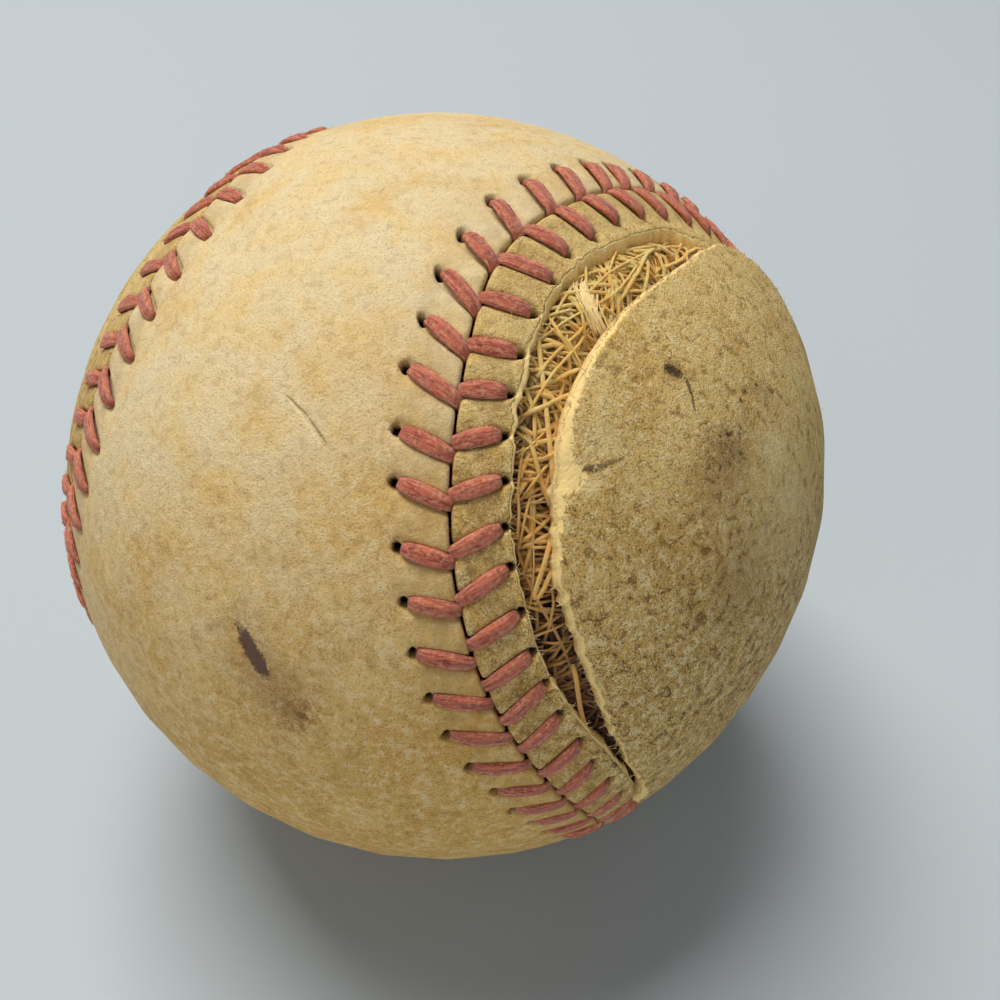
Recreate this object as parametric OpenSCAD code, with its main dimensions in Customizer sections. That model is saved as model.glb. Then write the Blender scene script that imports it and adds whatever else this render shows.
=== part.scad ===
// A sewn leather ball, 9 1/8 inches round, whose cover has torn open beside the seam.
// The origin is the ball's centre, +Z is up as the ball lies, and lengths are in millimetres.
// In the ball's own directions the whole panel's waist is at +Z and the torn panel's waist at -Z.

/* [Ball] */
// Diameter over the leather, between the seams
ball_d = 73.8; // [66:0.1:90]
// Turns about X, Y and Z that bring the ball from its own directions to the way it lies, degrees
lie_turns = [12.1, -6.5, -28.6]; // [-180:0.1:180]

/* [Leather cover] */
// Thickness of the leather
leather_t = 1.3; // [1:0.05:2]
// Width of each panel at its narrow waist, from seam to seam
waist_w = 29.1; // [25:0.1:34]
// Slit between the two panels' edges
seam_slit = 0.2; // [0.1:0.05:0.5]
// Height of the puckers that stand up between the stitches
pucker_h = 0.2; // [0:0.05:0.5]

/* [Stitches] */
// Pairs of stitches on a quarter of the seam
quarter_pairs = 27; // [22:1:30]
// Distance of each row of holes from the seam
hole_row = 4.05; // [3.6:0.05:5.5]
// Distance along the seam from a hole to the point of its V
vee_length = 1.5; // [0:0.05:1.8]
// Distance along the seam from the torn panel's tip to its first hole
first_hole = 0.45; // [-1.5:0.05:1.5]
// Width of the flat waxed thread
thread_w = 1.4; // [0.8:0.05:1.8]
// Thickness of the thread
thread_t = 0.8; // [0.5:0.05:1]
// Height of a stitch's back over the leather
thread_top = 0.6; // [0.3:0.05:0.8]
// Depth of a stitch's ends under the leather's surface
thread_bury = 0.85; // [0.6:0.05:1]
// Clearance round a stitch in its slots
thread_gap = 0.06; // [0.02:0.01:0.15]
// Diameter of the awl's hole that shows past a stitch's end
awl_d = 0.65; // [0.4:0.05:1]
// Width of the bridge of leather that a stitch passes over
bridge_w = 1.3; // [0.8:0.05:1.6]

/* [Tear] */
// Length of the tear in front of the torn panel's tip, along the seam
tear_front = 64; // [40:1:80]
// Length of the tear behind the tip
tear_back = 62; // [40:1:80]
// Distance from the seam to the tear
strip_w = 4.85; // [4.8:0.05:6.5]
// Greatest width of the tear
tear_w = 4.5; // [1:0.1:6]
// Width of the tear at its two blunt ends
tear_end_w = 0.4; // [0.2:0.05:1]
// Height that the flap stands off the ball where it stands off most
flap_lift = 2; // [0:0.1:4]
// Reach of the lifted part of the flap
flap_reach = 40; // [20:1:60]

/* [Finishing yarn] */
// Diameter of the finishing yarn
yarn_d = 0.5; // [0.3:0.05:0.7]
// Gap between the two lays of yarn where they cross
yarn_gap = 0.43; // [0.41:0.01:0.6]
// Loops in each lay
lay_loops = 11; // [6:1:12]
// Step between the loops of the first lay, which run along the tear
first_step = 1.2; // [1:0.05:1.6]
// Step between the loops of the second lay, which cross the tear
second_step = 4.2; // [3:0.1:4.4]

/* [Windings] */
// Depth of the finishing winding under its loops that show
finishing_winding_t = 0.5; // [0.3:0.05:1.5]
// Depth of the third wool winding
third_winding_t = 2.2; // [1:0.1:3]
// Depth of the second wool winding. The first fills what is left between it and the rubber.
second_winding_t = 1.75; // [1:0.05:3]
// Clearance between one layer of the ball and the next
layer_gap = 0.1; // [0.02:0.01:0.2]

/* [Cushioned cork centre] */
// Diameter of the cork ball
cork_d = 20.6; // [15:0.1:26]
// Thickness of the inner, black rubber shell
inner_rubber_t = 4; // [2:0.1:5]
// Thickness of the outer, red rubber shell
outer_rubber_t = 2.35; // [1.5:0.05:4]
// Thickness of the washer that seals the black halves
washer_t = 0.8; // [0.4:0.1:1.5]

/* [Hidden] */

// Sizes of the ball and counts along its seam
ball_r = ball_d / 2;
leather_inner_r = ball_r - leather_t;
pairs = 4 * quarter_pairs;
degrees_per_radian = 180 / PI;
waist_angle = waist_w / ball_d * degrees_per_radian;
turn_faces = 96;

// The seam's line on a unit ball. Along it a parameter t runs from 0 to 720 degrees: it swings from pole to
// pole as a cosine, passing each pole at half a waist, and goes once round with a wobble of half a waist.
function seam_polar(t) = 90 - (90 - waist_angle) * cos(t);
function seam_round(t) = t / 2 + waist_angle * sin(2 * t);
function ball_point(polar, around) = [sin(polar) * cos(around), sin(polar) * sin(around), cos(polar)];
function seam_point(t) = ball_point(seam_polar(t), seam_round(t));

// The direction along the seam, from the rates at which its two angles change
function seam_heading(t) =
    let (
        polar = seam_polar(t),
        around = seam_round(t),
        polar_rate = (90 - waist_angle) / degrees_per_radian * sin(t),
        round_rate = 1 / 2 + 2 * waist_angle / degrees_per_radian * cos(2 * t),
        heading = polar_rate * [cos(polar) * cos(around), cos(polar) * sin(around), -sin(polar)]
            + round_rate * sin(polar) * [-sin(around), cos(around), 0]
    )
    heading / norm(heading);

// Distance along a quarter of the seam, summed in short steps and read back as t for a distance s
measure_steps = 180;
step_turn = 180 / measure_steps;
function step_length(i) = ball_r * norm(seam_point((i + 1) * step_turn) - seam_point(i * step_turn));
quarter_table = [
    for (i = 0, s = 0; i <= measure_steps; s = s + step_length(i), i = i + 1) [s, i * step_turn]
];
quarter_length = quarter_table[measure_steps][0];
pitch = quarter_length / quarter_pairs;
function seam_turn(s) =
    let (quarter = floor(s / quarter_length))
    180 * quarter + lookup(s - quarter * quarter_length, quarter_table);

// The direction of the place that is s along the seam and d across it, towards the whole panel where d > 0
function seam_place(s, d) =
    let (
        t = seam_turn(s),
        p = seam_point(t),
        across = cross(p, seam_heading(t)),
        turn = d / ball_r * degrees_per_radian
    )
    p * cos(turn) + across * sin(turn);

// A stitch is an arc over the leather's edge, from its hole to the point of the V in the slit. Its flat
// thread leans, so its inner end keeps a corner's room from the other panel's stitch.
lean_share = vee_length / hole_row;
leg_in = thread_t / 2 + (thread_w - thread_t) / 2 * sin(atan(lean_share)) + thread_gap;
leg_out = hole_row - thread_t / 2;
leg_mid = (leg_in + leg_out) / 2;
leg_chord = (leg_out - leg_in) * sqrt(1 + lean_share ^ 2);
leg_top = thread_top - thread_t / 2;
leg_sagitta = leg_top + thread_bury;
leg_r = ((leg_chord / 2) ^ 2 + leg_sagitta ^ 2) / (2 * leg_sagitta);
leg_half_turn = asin(leg_chord / 2 / leg_r);
// Place along the seam of stitch i at the distance d from the seam. Each V points back along the seam.
function leg_place(i, d) = first_hole + i * pitch - vee_length * (1 - d / hole_row);
// Height of a stitch's underside at the distance x from its middle
function leg_under(x) = sqrt((leg_r - thread_t / 2) ^ 2 - x ^ 2) - (leg_r - leg_top);

// The leather is pressed down to this height under each stitch, and slotted on both sides of the bridge
valley_h = leg_under(bridge_w / 2) - thread_gap;
slot_half = thread_w / 2 * sqrt(1 + lean_share ^ 2) + thread_gap;
notch_d = leg_mid - bridge_w / 2;
slot_in = leg_mid + bridge_w / 2;
slot_out = hole_row + awl_d / 2;

// Cells of the torn panel's rim that are torn, counted from its tip
tear_first = -round(tear_front / pitch);
tear_last = round(tear_back / pitch) - 1;
tear_cells = tear_last - tear_first + 1;
function is_torn(i) =
    let (from_tip = i >= pairs / 2 ? i - pairs : i)
    from_tip >= tear_first && from_tip <= tear_last;
// Share of the way along the tear at the rim's mark j, from 0 to 1, and no more outside it
function tear_share(j) =
    let (from_tip = j > pairs / 2 ? j - pairs : j)
    max(0, min(1, (from_tip - tear_first) / tear_cells));
tear_shape_share = 1.5;
function tear_opening(j) = tear_w * sin(180 * tear_share(j)) ^ tear_shape_share;

// The flap's lift is greatest at one place near its free edge and dies away smoothly over the flap's reach
lift_peak_along_share = 0.6;
lift_peak = seam_place(lift_peak_along_share * tear_back, -(strip_w + tear_w));
function smooth_share(u) = u * u * (3 - 2 * u);
function lift_at(direction) =
    let (away = ball_r * acos(min(1, direction * lift_peak)) / degrees_per_radian)
    flap_lift * (1 - smooth_share(min(1, away / flap_reach)));
// Share of the lift that the rim's mark j allows: none where the leather is still whole
function rim_free(j) = sin(180 * tear_share(j)) ^ (1 / 2);

// Marks round one cell of a panel's rim, as [along, across, height, lift share]. The cell holds one slot and,
// on its edge, the notch at the V's point. Marks 0, 9 and 10 are shared with the cell before.
across_cells = 8;
rim_marks = len(rim_cell(0, false));
function rim_cell(i, torn) =
    let (
        start = first_hole + (i - 1 / 2) * pitch,
        crest = leg_place(i, 0) - pitch / 2,
        edge = seam_slit / 2,
        notch_edge = leg_place(i, edge),
        notch_end = leg_place(i, notch_d),
        slot_start = leg_place(i, slot_in),
        slot_end = leg_place(i, slot_out),
        opening = torn ? tear_opening(i) : 0
    )
    [
        [crest, edge, pucker_h, 0],
        [notch_edge - slot_half, edge, valley_h, 0],
        [notch_end - slot_half, notch_d, valley_h, 0],
        [notch_end + slot_half, notch_d, valley_h, 0],
        [notch_edge + slot_half, edge, valley_h, 0],
        [slot_start - slot_half, slot_in, valley_h, 0],
        [slot_start + slot_half, slot_in, valley_h, 0],
        [slot_end + slot_half, slot_out, 0, 0],
        [slot_end - slot_half, slot_out, 0, 0],
        [start, strip_w, 0, 0],
        [start, strip_w + tear_end_w + opening, 0, torn ? rim_free(i) : 0]
    ];

// Directions of the marks that cross a panel, row by row from each of its two tips to the waist.
// Row k joins the rim marks k cells before and behind the tip, along the shortest way over the ball.
function along_arc(a, b, share) =
    let (turn = acos(a * b))
    (a * sin((1 - share) * turn) + b * sin(share * turn)) / sin(turn);
function tips(side) = side > 0 ? [quarter_pairs, 3 * quarter_pairs] : [0, 2 * quarter_pairs];
function wrap(j) = (j + 2 * pairs) % pairs;

// Points of a panel: first all on the outer face, then all on the inner face. side is 1 for the whole panel
// and -1 for the torn one.
function panel_marks(side, torn) =
    let (
        rim = [for (i = [0 : pairs - 1], mark = rim_cell(i, torn))
            [seam_place(mark[0], side * mark[1]), mark[2], mark[3]]],
        inside = [for (tip = tips(side), k = [1 : quarter_pairs - 1], i = [1 : across_cells - 1])
            let (
                before = rim[wrap(tip - k) * rim_marks + 10],
                behind = rim[wrap(tip + k + 1) * rim_marks + 10],
                share = i / across_cells,
                held = (1 - share) ^ 4 * (1 - before[2]) + share ^ 4 * (1 - behind[2])
            )
            [along_arc(before[0], behind[0], share), 0, 1 - held]]
    )
    concat(rim, inside);
function raised(mark, torn) = torn ? mark[2] * lift_at(mark[0]) : 0;

// Number of the mark i of row k, counted from tip number lobe. The row past the last is the other lobe's.
function row_mark(side, lobe, k, i) =
    k == quarter_pairs ? row_mark(side, 1 - lobe, k - 1, across_cells - i)
    : i == 0 ? wrap(tips(side)[lobe] - k) * rim_marks + 10
    : i == across_cells ? wrap(tips(side)[lobe] + k + 1) * rim_marks + 10
    : pairs * rim_marks + (lobe * (quarter_pairs - 1) + k - 1) * (across_cells - 1) + i - 1;

// Triangles of one rim cell, anticlockwise from outside on the whole panel. Marks 11, 12 and 13 stand for
// marks 0, 9 and 10 of the next cell. The last two triangles close the band that the tear opens.
rim_faces = [
    [0, 1, 2], [0, 2, 5], [0, 5, 8], [0, 8, 9], [2, 3, 6], [2, 6, 5],
    [3, 4, 11], [3, 11, 6], [6, 11, 7], [7, 11, 12], [8, 7, 12], [8, 12, 9]
];
band_faces = [[9, 12, 13], [9, 13, 10]];
rim_walls = [[0, 1], [1, 2], [2, 3], [3, 4], [4, 11], [5, 8], [8, 7], [7, 6], [6, 5]];
tear_walls = [[12, 9], [10, 13]];
function rim_number(i, mark) =
    mark < rim_marks ? i * rim_marks + mark : wrap(i + 1) * rim_marks + [0, 9, 10][mark - rim_marks];
function rim_numbers(i, lists) = [for (list = lists) [for (mark = list) rim_number(i, mark)]];

function outer_faces(side, torn) = [
    for (i = [0 : pairs - 1]) each rim_numbers(i, rim_faces),
    for (i = [0 : pairs - 1]) if (!torn || !is_torn(i)) each rim_numbers(i, band_faces),
    for (lobe = [0, 1]) each [
        let (first = row_mark(side, lobe, 0, 0), last = row_mark(side, lobe, 0, across_cells)) each [
            [first, last, row_mark(side, lobe, 1, across_cells / 2)],
            for (i = [0 : across_cells - 1])
                let (corner = i < across_cells / 2 ? first : last)
                [corner, row_mark(side, lobe, 1, i + 1), row_mark(side, lobe, 1, i)]
        ],
        for (k = [1 : quarter_pairs - 1 - lobe], i = [0 : across_cells - 1])
            let (
                a = row_mark(side, lobe, k, i),
                b = row_mark(side, lobe, k, i + 1),
                c = row_mark(side, lobe, k + 1, i + 1),
                d = row_mark(side, lobe, k + 1, i)
            )
            each [[a, b, c], [a, c, d]]
    ]
];
// Edges where the outer face ends, each with the leather on its left
function free_edges(torn) = [
    for (i = [0 : pairs - 1]) each rim_numbers(i, rim_walls),
    if (torn) each [
        for (i = [0 : pairs - 1]) if (is_torn(i)) each rim_numbers(i, tear_walls),
        [rim_number(wrap(tear_first), 9), rim_number(wrap(tear_first), 10)],
        [rim_number(wrap(tear_last), 13), rim_number(wrap(tear_last), 12)]
    ]
];

// A panel is one sheet of leather: its outer face, the same face a thickness further in, and walls between
module panel(side, torn) {
    marks = panel_marks(side, torn);
    count = len(marks);
    outer = [for (mark = marks) mark[0] * (ball_r + mark[1] + raised(mark, torn))];
    inner = [for (mark = marks) mark[0] * (leather_inner_r + raised(mark, torn))];
    skin = outer_faces(side, torn);
    faces = concat(
        skin,
        [for (face = skin) [face[2] + count, face[1] + count, face[0] + count]],
        [for (edge = free_edges(torn)) each [
            [edge[1], edge[0], edge[0] + count],
            [edge[1], edge[0] + count, edge[1] + count]
        ]]
    );
    polyhedron(concat(outer, inner), side > 0 ? [for (face = faces) [face[2], face[1], face[0]]] : faces);
}

// Flat thread with round edges, bent along the stitch's arc
thread_edge_faces = 24;
module stitch() {
    translate([0, 0, leg_top - leg_r])
        rotate([90, 0, 0])
            rotate_extrude(angle = 2 * leg_half_turn, start = 90 - leg_half_turn, $fn = turn_faces)
                translate([leg_r, 0]) {
                    square([thread_t, thread_w - thread_t], center = true);
                    for (end = [-1, 1])
                        translate([0, end * (thread_w - thread_t) / 2])
                            circle(d = thread_t, $fn = thread_edge_faces);
                }
}

// One stitch for each pair, standing on the leather with its length across the panel's edge
module stitches(side) {
    for (i = [0 : pairs - 1]) {
        up = seam_place(leg_place(i, leg_mid), side * leg_mid);
        run = seam_place(leg_place(i, leg_out), side * leg_out)
            - seam_place(leg_place(i, leg_in), side * leg_in);
        level = run - (run * up) * up;
        x = level / norm(level);
        y = cross(up, x);
        multmatrix([
            [x[0], y[0], up[0], ball_r * up[0]],
            [x[1], y[1], up[1], ball_r * up[1]],
            [x[2], y[2], up[2], ball_r * up[2]]
        ])
            stitch();
    }
}

// The finishing yarn's line. Its first lay circles the ball's own X axis along the tear. It then passes over
// to the Y axis within one loop, and its second lay crosses the first from one side of the ball to the other.
loop_rings = 24;
yarn_sides = 6;
ring_turn = 360 / loop_rings;
facet_sag = ball_r * (1 - cos(ring_turn / 2));
second_lay_r = leather_inner_r - facet_sag - yarn_d / 2;
first_lay_r = second_lay_r - facet_sag - yarn_d - yarn_gap;
first_lay_start = 36;
second_lay_start = 50;
function steps_turn(step, loops) = step * loops / ball_r * degrees_per_radian;
function yarn_point(n) =
    n <= lay_loops
    ? first_lay_r * (
        let (polar = first_lay_start + steps_turn(first_step, n), around = 360 * n)
        [cos(polar), sin(polar) * cos(around), sin(polar) * sin(around)]
    )
    : let (
        m = n - lay_loops,
        ends_at = first_lay_start + steps_turn(first_step, lay_loops),
        passing = smooth_share(min(1, m)),
        polar = (1 - passing) * (90 - ends_at) + passing * second_lay_start
            + steps_turn(second_step, max(0, m - 1)),
        around = 360 * m,
        r = first_lay_r + (second_lay_r - first_lay_r) * smooth_share(min(1, 3 * m))
    )
    r * [sin(polar) * cos(around), cos(polar), sin(polar) * sin(around)];
yarn_line = [for (i = [0 : 2 * lay_loops * loop_rings]) yarn_point(i / loop_rings)];

// Least distance between points and half-way points of the line that lie more than a third of a loop apart
yarn_samples = [
    for (i = [0 : len(yarn_line) - 2]) each [yarn_line[i], (yarn_line[i] + yarn_line[i + 1]) / 2]
];
function nearest_later(i) = min([
    for (j = [i + 2 * loop_rings / 3 : len(yarn_samples) - 1]) norm(yarn_samples[i] - yarn_samples[j])
]);
function least_gap() = min([
    for (i = [0 : len(yarn_samples) - 1 - 2 * loop_rings / 3]) nearest_later(i)
]) - yarn_d;

// A tube along a line that stays near a ball: each ring stands square to the line
module tube(line, d, sides) {
    last = len(line) - 1;
    rings = [for (i = [0 : last])
        let (
            run = line[min(last, i + 1)] - line[max(0, i - 1)],
            heading = run / norm(run),
            out = line[i] / norm(line[i]),
            level = cross(heading, out),
            aside = level / norm(level),
            up = cross(aside, heading)
        )
        each [for (k = [0 : sides - 1])
            line[i] + d / 2 * (cos(360 * k / sides) * up + sin(360 * k / sides) * aside)]
    ];
    walls = [for (i = [0 : last - 1], k = [0 : sides - 1])
        let (a = i * sides + k, b = i * sides + (k + 1) % sides)
        each [[a, b, b + sides], [a, b + sides, a + sides]]
    ];
    ends = [
        for (k = [1 : sides - 2]) each [[0, k + 1, k], [last * sides, last * sides + k, last * sides + k + 1]]
    ];
    polyhedron(rings, concat(walls, ends));
}

// Radii over the layers: the windings are counted inwards from the yarn, the rubber outwards from the cork
finishing_winding_r = first_lay_r - facet_sag - yarn_d / 2;
third_winding_r = finishing_winding_r - finishing_winding_t;
second_winding_r = third_winding_r - third_winding_t;
first_winding_r = second_winding_r - second_winding_t;
inner_rubber_r = cork_d / 2 + inner_rubber_t;
outer_rubber_r = inner_rubber_r + outer_rubber_t;

// A hollow ball that fills the room between two diameters
module hollow_ball(outer_r, inner_r) {
    difference() {
        sphere(r = outer_r, $fn = turn_faces);
        sphere(r = inner_r + layer_gap, $fn = turn_faces);
    }
}

// Half of a hollow ball, above or below the level at which the halves meet
module half_ball(outer_r, inner_r, side, level) {
    intersection() {
        hollow_ball(outer_r, inner_r);
        translate([-outer_r, -outer_r, side > 0 ? level : -level - outer_r])
            cube([2 * outer_r, 2 * outer_r, outer_r]);
    }
}

module lie() {
    rotate(lie_turns) children();
}

module cork_centre() {
    color("#8a6a48") lie() sphere(d = cork_d, $fn = turn_faces);
}

module inner_rubber_upper() {
    color("#242424") lie() half_ball(inner_rubber_r, cork_d / 2, 1, washer_t / 2);
}

module inner_rubber_lower() {
    color("#242424") lie() half_ball(inner_rubber_r, cork_d / 2, -1, washer_t / 2);
}

module inner_rubber_washer() {
    color("#9c2f28") lie()
        intersection() {
            hollow_ball(inner_rubber_r, cork_d / 2);
            translate([0, 0, -washer_t / 2]) cylinder(r = inner_rubber_r, h = washer_t, $fn = turn_faces);
        }
}

module outer_rubber_upper() {
    color("#a63a30") lie() half_ball(outer_rubber_r, inner_rubber_r, 1, 0);
}

module outer_rubber_lower() {
    color("#a63a30") lie() half_ball(outer_rubber_r, inner_rubber_r, -1, 0);
}

module first_wool_winding() {
    color("#8d8f90") lie() hollow_ball(first_winding_r, outer_rubber_r);
}

module second_wool_winding() {
    color("#e6e2d6") lie() hollow_ball(second_winding_r, first_winding_r);
}

module third_wool_winding() {
    color("#97989a") lie() hollow_ball(third_winding_r, second_winding_r);
}

module finishing_winding() {
    color("#a8854d") lie() hollow_ball(finishing_winding_r, third_winding_r);
}

module finishing_yarn() {
    echo(str("least gap in the finishing yarn: ", least_gap(), " mm"));
    color("#cfa35e") lie() tube(yarn_line, yarn_d, yarn_sides);
}

module cover_whole_panel() {
    color("#d9c79c") lie() panel(1, false);
}

module cover_torn_panel() {
    color("#cdb98e") lie() panel(-1, true);
}

module stitches_whole_side() {
    color("#b8504a") lie() stitches(1);
}

module stitches_torn_side() {
    color("#b8504a") lie() stitches(-1);
}

cork_centre();
inner_rubber_upper();
inner_rubber_lower();
inner_rubber_washer();
outer_rubber_upper();
outer_rubber_lower();
first_wool_winding();
second_wool_winding();
third_wool_winding();
finishing_winding();
finishing_yarn();
cover_whole_panel();
cover_torn_panel();
stitches_whole_side();
stitches_torn_side();
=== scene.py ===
"""A sewn leather ball whose cover has torn open beside the seam, dressed piece by piece from the cork outwards.

Sizes are in millimetres until a mesh is made. Shapes are worked out in the ball's own directions, in which the
whole panel's waist is at +Z and the torn panel's at -Z, and are then turned to the way the ball lies. Places on the
cover are given as s, along the seam from the torn panel's tip, and d, off the seam.
"""
import math

import bmesh
import bpy
import numpy as np
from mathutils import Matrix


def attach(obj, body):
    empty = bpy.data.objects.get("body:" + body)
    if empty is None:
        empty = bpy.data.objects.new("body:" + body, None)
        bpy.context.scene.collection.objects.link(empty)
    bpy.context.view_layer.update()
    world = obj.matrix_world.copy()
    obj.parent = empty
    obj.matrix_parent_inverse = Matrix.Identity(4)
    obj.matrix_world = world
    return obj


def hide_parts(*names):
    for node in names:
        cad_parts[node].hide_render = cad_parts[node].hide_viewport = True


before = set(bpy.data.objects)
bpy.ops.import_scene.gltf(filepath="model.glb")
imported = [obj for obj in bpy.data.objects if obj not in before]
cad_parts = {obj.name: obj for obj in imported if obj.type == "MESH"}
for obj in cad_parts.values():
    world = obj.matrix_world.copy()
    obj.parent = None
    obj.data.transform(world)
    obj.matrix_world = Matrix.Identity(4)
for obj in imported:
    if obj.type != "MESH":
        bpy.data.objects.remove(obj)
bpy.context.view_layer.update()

# The cork centre
# A small ball moulded from ground cork and rubber, so its skin is a tight mosaic of tan and brown crumbs with a
# few black ones, slightly open between them. Everything else is built up round it.
MM = 0.001
crumbs_per_metre = 900.0
crumb_depth = -0.5


def colour(red, green, blue):
    """A surface colour from its display values, 0 to 255, as linear light."""
    shown = np.array([red, green, blue]) / 255
    return (*np.where(shown <= 0.04045, shown / 12.92, ((shown + 0.055) / 1.055) ** 2.4), 1.0)


def put(tree, kind, feeds=None, **settings):
    """Adds a shader node. settings are its own, and feeds gives its sockets a value or another node's output."""
    made = tree.nodes.new("ShaderNode" + kind)
    for name, value in settings.items():
        setattr(made, name, value)
    for name, value in (feeds or {}).items():
        if isinstance(value, bpy.types.NodeSocket):
            tree.links.new(value, made.inputs[name])
        else:
            made.inputs[name].default_value = value
    return made


def mix(tree, share, first, second):
    """One colour over another: share of the second, with the first below. Each is an output, or three display
    values."""
    first, second = (colour(*each) if isinstance(each, tuple) else each for each in (first, second))
    return put(tree, "Mix", {0: share, 6: first, 7: second}, data_type="RGBA").outputs[2]


def calc(tree, operation, first, second=0.0):
    """One step with two numbers, each a value or an output."""
    return put(tree, "Math", {0: first, 1: second}, operation=operation).outputs[0]


def times(tree, first, second):
    """The product of two numbers."""
    return calc(tree, "MULTIPLY", first, second)


def plus(tree, first, second):
    """The sum of two numbers."""
    return calc(tree, "ADD", first, second)


def minus(tree, first, second):
    """The first number less the second."""
    return calc(tree, "SUBTRACT", first, second)


def between(tree, value, low, high):
    """A mask that rises smoothly from 0 where value is low to 1 where it is high."""
    return put(tree, "MapRange", {0: value, 1: low, 2: high}, interpolation_type="SMOOTHSTEP").outputs[0]


def clouds(tree, place, size, detail=3.0, twist=0.0):
    """Cloudy noise, from 0 to 1, whose patches are about size across."""
    feeds = {"Vector": place, "Scale": 1 / (size * MM), "Detail": detail, "Distortion": twist}
    return put(tree, "TexNoise", feeds).outputs[0]


def object_place(tree):
    """Where a point lies in the object's own frame."""
    return put(tree, "TexCoord").outputs["Object"]


def bump(tree, height, depth):
    """A surface direction that a height field tilts. depth is what a height of 1 stands for."""
    return put(tree, "Bump", {"Height": height, "Distance": depth * MM}).outputs[0]


def new_material(name, roughness, **plain):
    """A material, its node tree and its Principled shader's sockets. plain sets sockets that are the same all over
    the surface."""
    material = bpy.data.materials.new(name)
    material.use_nodes = True
    shader = material.node_tree.nodes["Principled BSDF"]
    for socket, value in {"Roughness": roughness, **plain}.items():
        shader.inputs[socket.replace("_", " ")].default_value = value
    return material, material.node_tree, shader.inputs


def feed(tree, sockets, **outputs):
    """Joins outputs to sockets, each by the socket's name with _ for a space."""
    for name, output in outputs.items():
        tree.links.new(output, sockets[name.replace("_", " ")])


def dress(node, material):
    """Gives a part of the frame its finish."""
    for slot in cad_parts[node].material_slots:
        slot.material = material


cork, tree, shader = new_material("cork_crumb", 0.85, Specular_IOR_Level=0.25)
crumbs = put(tree, "TexVoronoi", {"Vector": object_place(tree), "Scale": crumbs_per_metre}).outputs
shade = put(tree, "SeparateColor", {0: crumbs["Color"]}).outputs[0]
tan = mix(tree, shade, (122, 86, 52), (186, 146, 98))
feed(tree, shader,
     Base_Color=mix(tree, between(tree, shade, 0.12, 0.08), tan, (34, 28, 24)),
     Normal=bump(tree, crumbs["Distance"], crumb_depth))
dress("cork_centre", cork)

# The two rubber shells and the washer
# The cork sits in two half shells of black rubber, sealed at their joint by a red washer, and these sit in two
# half shells of red rubber. All are moulded, so they are matt, with a fine even grain and a little bloom.
rubber_grain = 0.12
rubber_grain_h = 0.02
rubber_bloom = 5.0


def moulded_rubber(name, deep, bloomed):
    """Matt rubber of two close tones."""
    material, tree, shader = new_material(name, 0.62, Specular_IOR_Level=0.35)
    place = object_place(tree)
    bloom = between(tree, clouds(tree, place, rubber_bloom), 0.4, 0.8)
    feed(tree, shader,
         Base_Color=mix(tree, bloom, deep, bloomed),
         Normal=bump(tree, clouds(tree, place, rubber_grain), rubber_grain_h))
    return material


black_rubber = moulded_rubber("black_rubber", (26, 26, 27), (52, 51, 50))
red_rubber = moulded_rubber("red_rubber", (132, 38, 30), (164, 72, 58))
for half in ("upper", "lower"):
    dress("inner_rubber_" + half, black_rubber)
    dress("outer_rubber_" + half, red_rubber)
dress("inner_rubber_washer", red_rubber)

# The windings
# Three layers of wool yarn, grey, white and grey, are wound tight round the rubber, and the fine finishing yarn
# begins over them. Each turn lies across the last, so a layer shows bands of yarn in several directions.
winding_turns = [(0.3, 0.2, 0.1), (1.4, 0.5, 0.9), (0.6, 1.9, 2.2)]
winding_tone_w = 4.0
winding_patch_w = 9.0


def shader_group(name, takes, gives):
    """An empty group of shader nodes, with the sockets of its two ends. takes and gives say their kinds."""
    group = bpy.data.node_groups.new(name, "ShaderNodeTree")
    for side, sockets in (("INPUT", takes), ("OUTPUT", gives)):
        for socket, kind in sockets.items():
            group.interface.new_socket(socket, in_out=side, socket_type="NodeSocket" + kind)
    return group, group.nodes.new("NodeGroupInput").outputs, group.nodes.new("NodeGroupOutput").inputs


def place_group(tree, group, **feeds):
    """Puts a group in a tree and returns its outputs. feeds name its sockets, with _ for a space."""
    feeds = {name.replace("_", " "): value for name, value in feeds.items()}
    return put(tree, "Group", feeds, node_tree=group).outputs


def make_wound_yarn():
    """Bands of yarn in three directions, each lying over the last where its own patch of noise is high."""
    group, takes, gives = shader_group(
        "wound_yarn", {"Place": "Vector", "Bands": "Float"}, {"Height": "Float", "Shade": "Float"})
    height = shade = None
    for turns in winding_turns:
        turned = put(group, "VectorRotate", {0: takes["Place"], "Rotation": turns},
                     rotation_type="EULER_XYZ").outputs[0]
        bands = put(group, "TexWave", {0: turned, "Scale": takes["Bands"], "Distortion": 0.6}).outputs[1]
        tone = clouds(group, turned, winding_tone_w)
        if height is None:
            height, shade = bands, tone
            continue
        over = between(group, clouds(group, turned, winding_patch_w, 2.0), 0.47, 0.53)
        height, shade = (put(group, "Mix", {0: over, 2: below, 3: above}).outputs[0]
                         for below, above in ((height, bands), (shade, tone)))
    feed(group, gives, Height=height, Shade=shade)
    return group


wound_yarn = make_wound_yarn()


def wound_layer(name, deep, pale, yarn_w):
    """A wound layer of yarn of one width, painted deep in its valleys as shade and pale on its crests as a
    highlight.
    """
    material, tree, shader = new_material(name, 0.9, Specular_IOR_Level=0.2, Sheen_Weight=0.3)
    bands = place_group(tree, wound_yarn, Place=object_place(tree), Bands=1 / (yarn_w * MM * 2 * math.pi))
    crest_light = times(tree, bands["Height"], plus(tree, bands["Shade"], 0.4))
    feed(tree, shader, Base_Color=mix(tree, crest_light, deep, pale), Normal=bump(tree, bands["Height"], yarn_w / 2))
    return material


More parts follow.
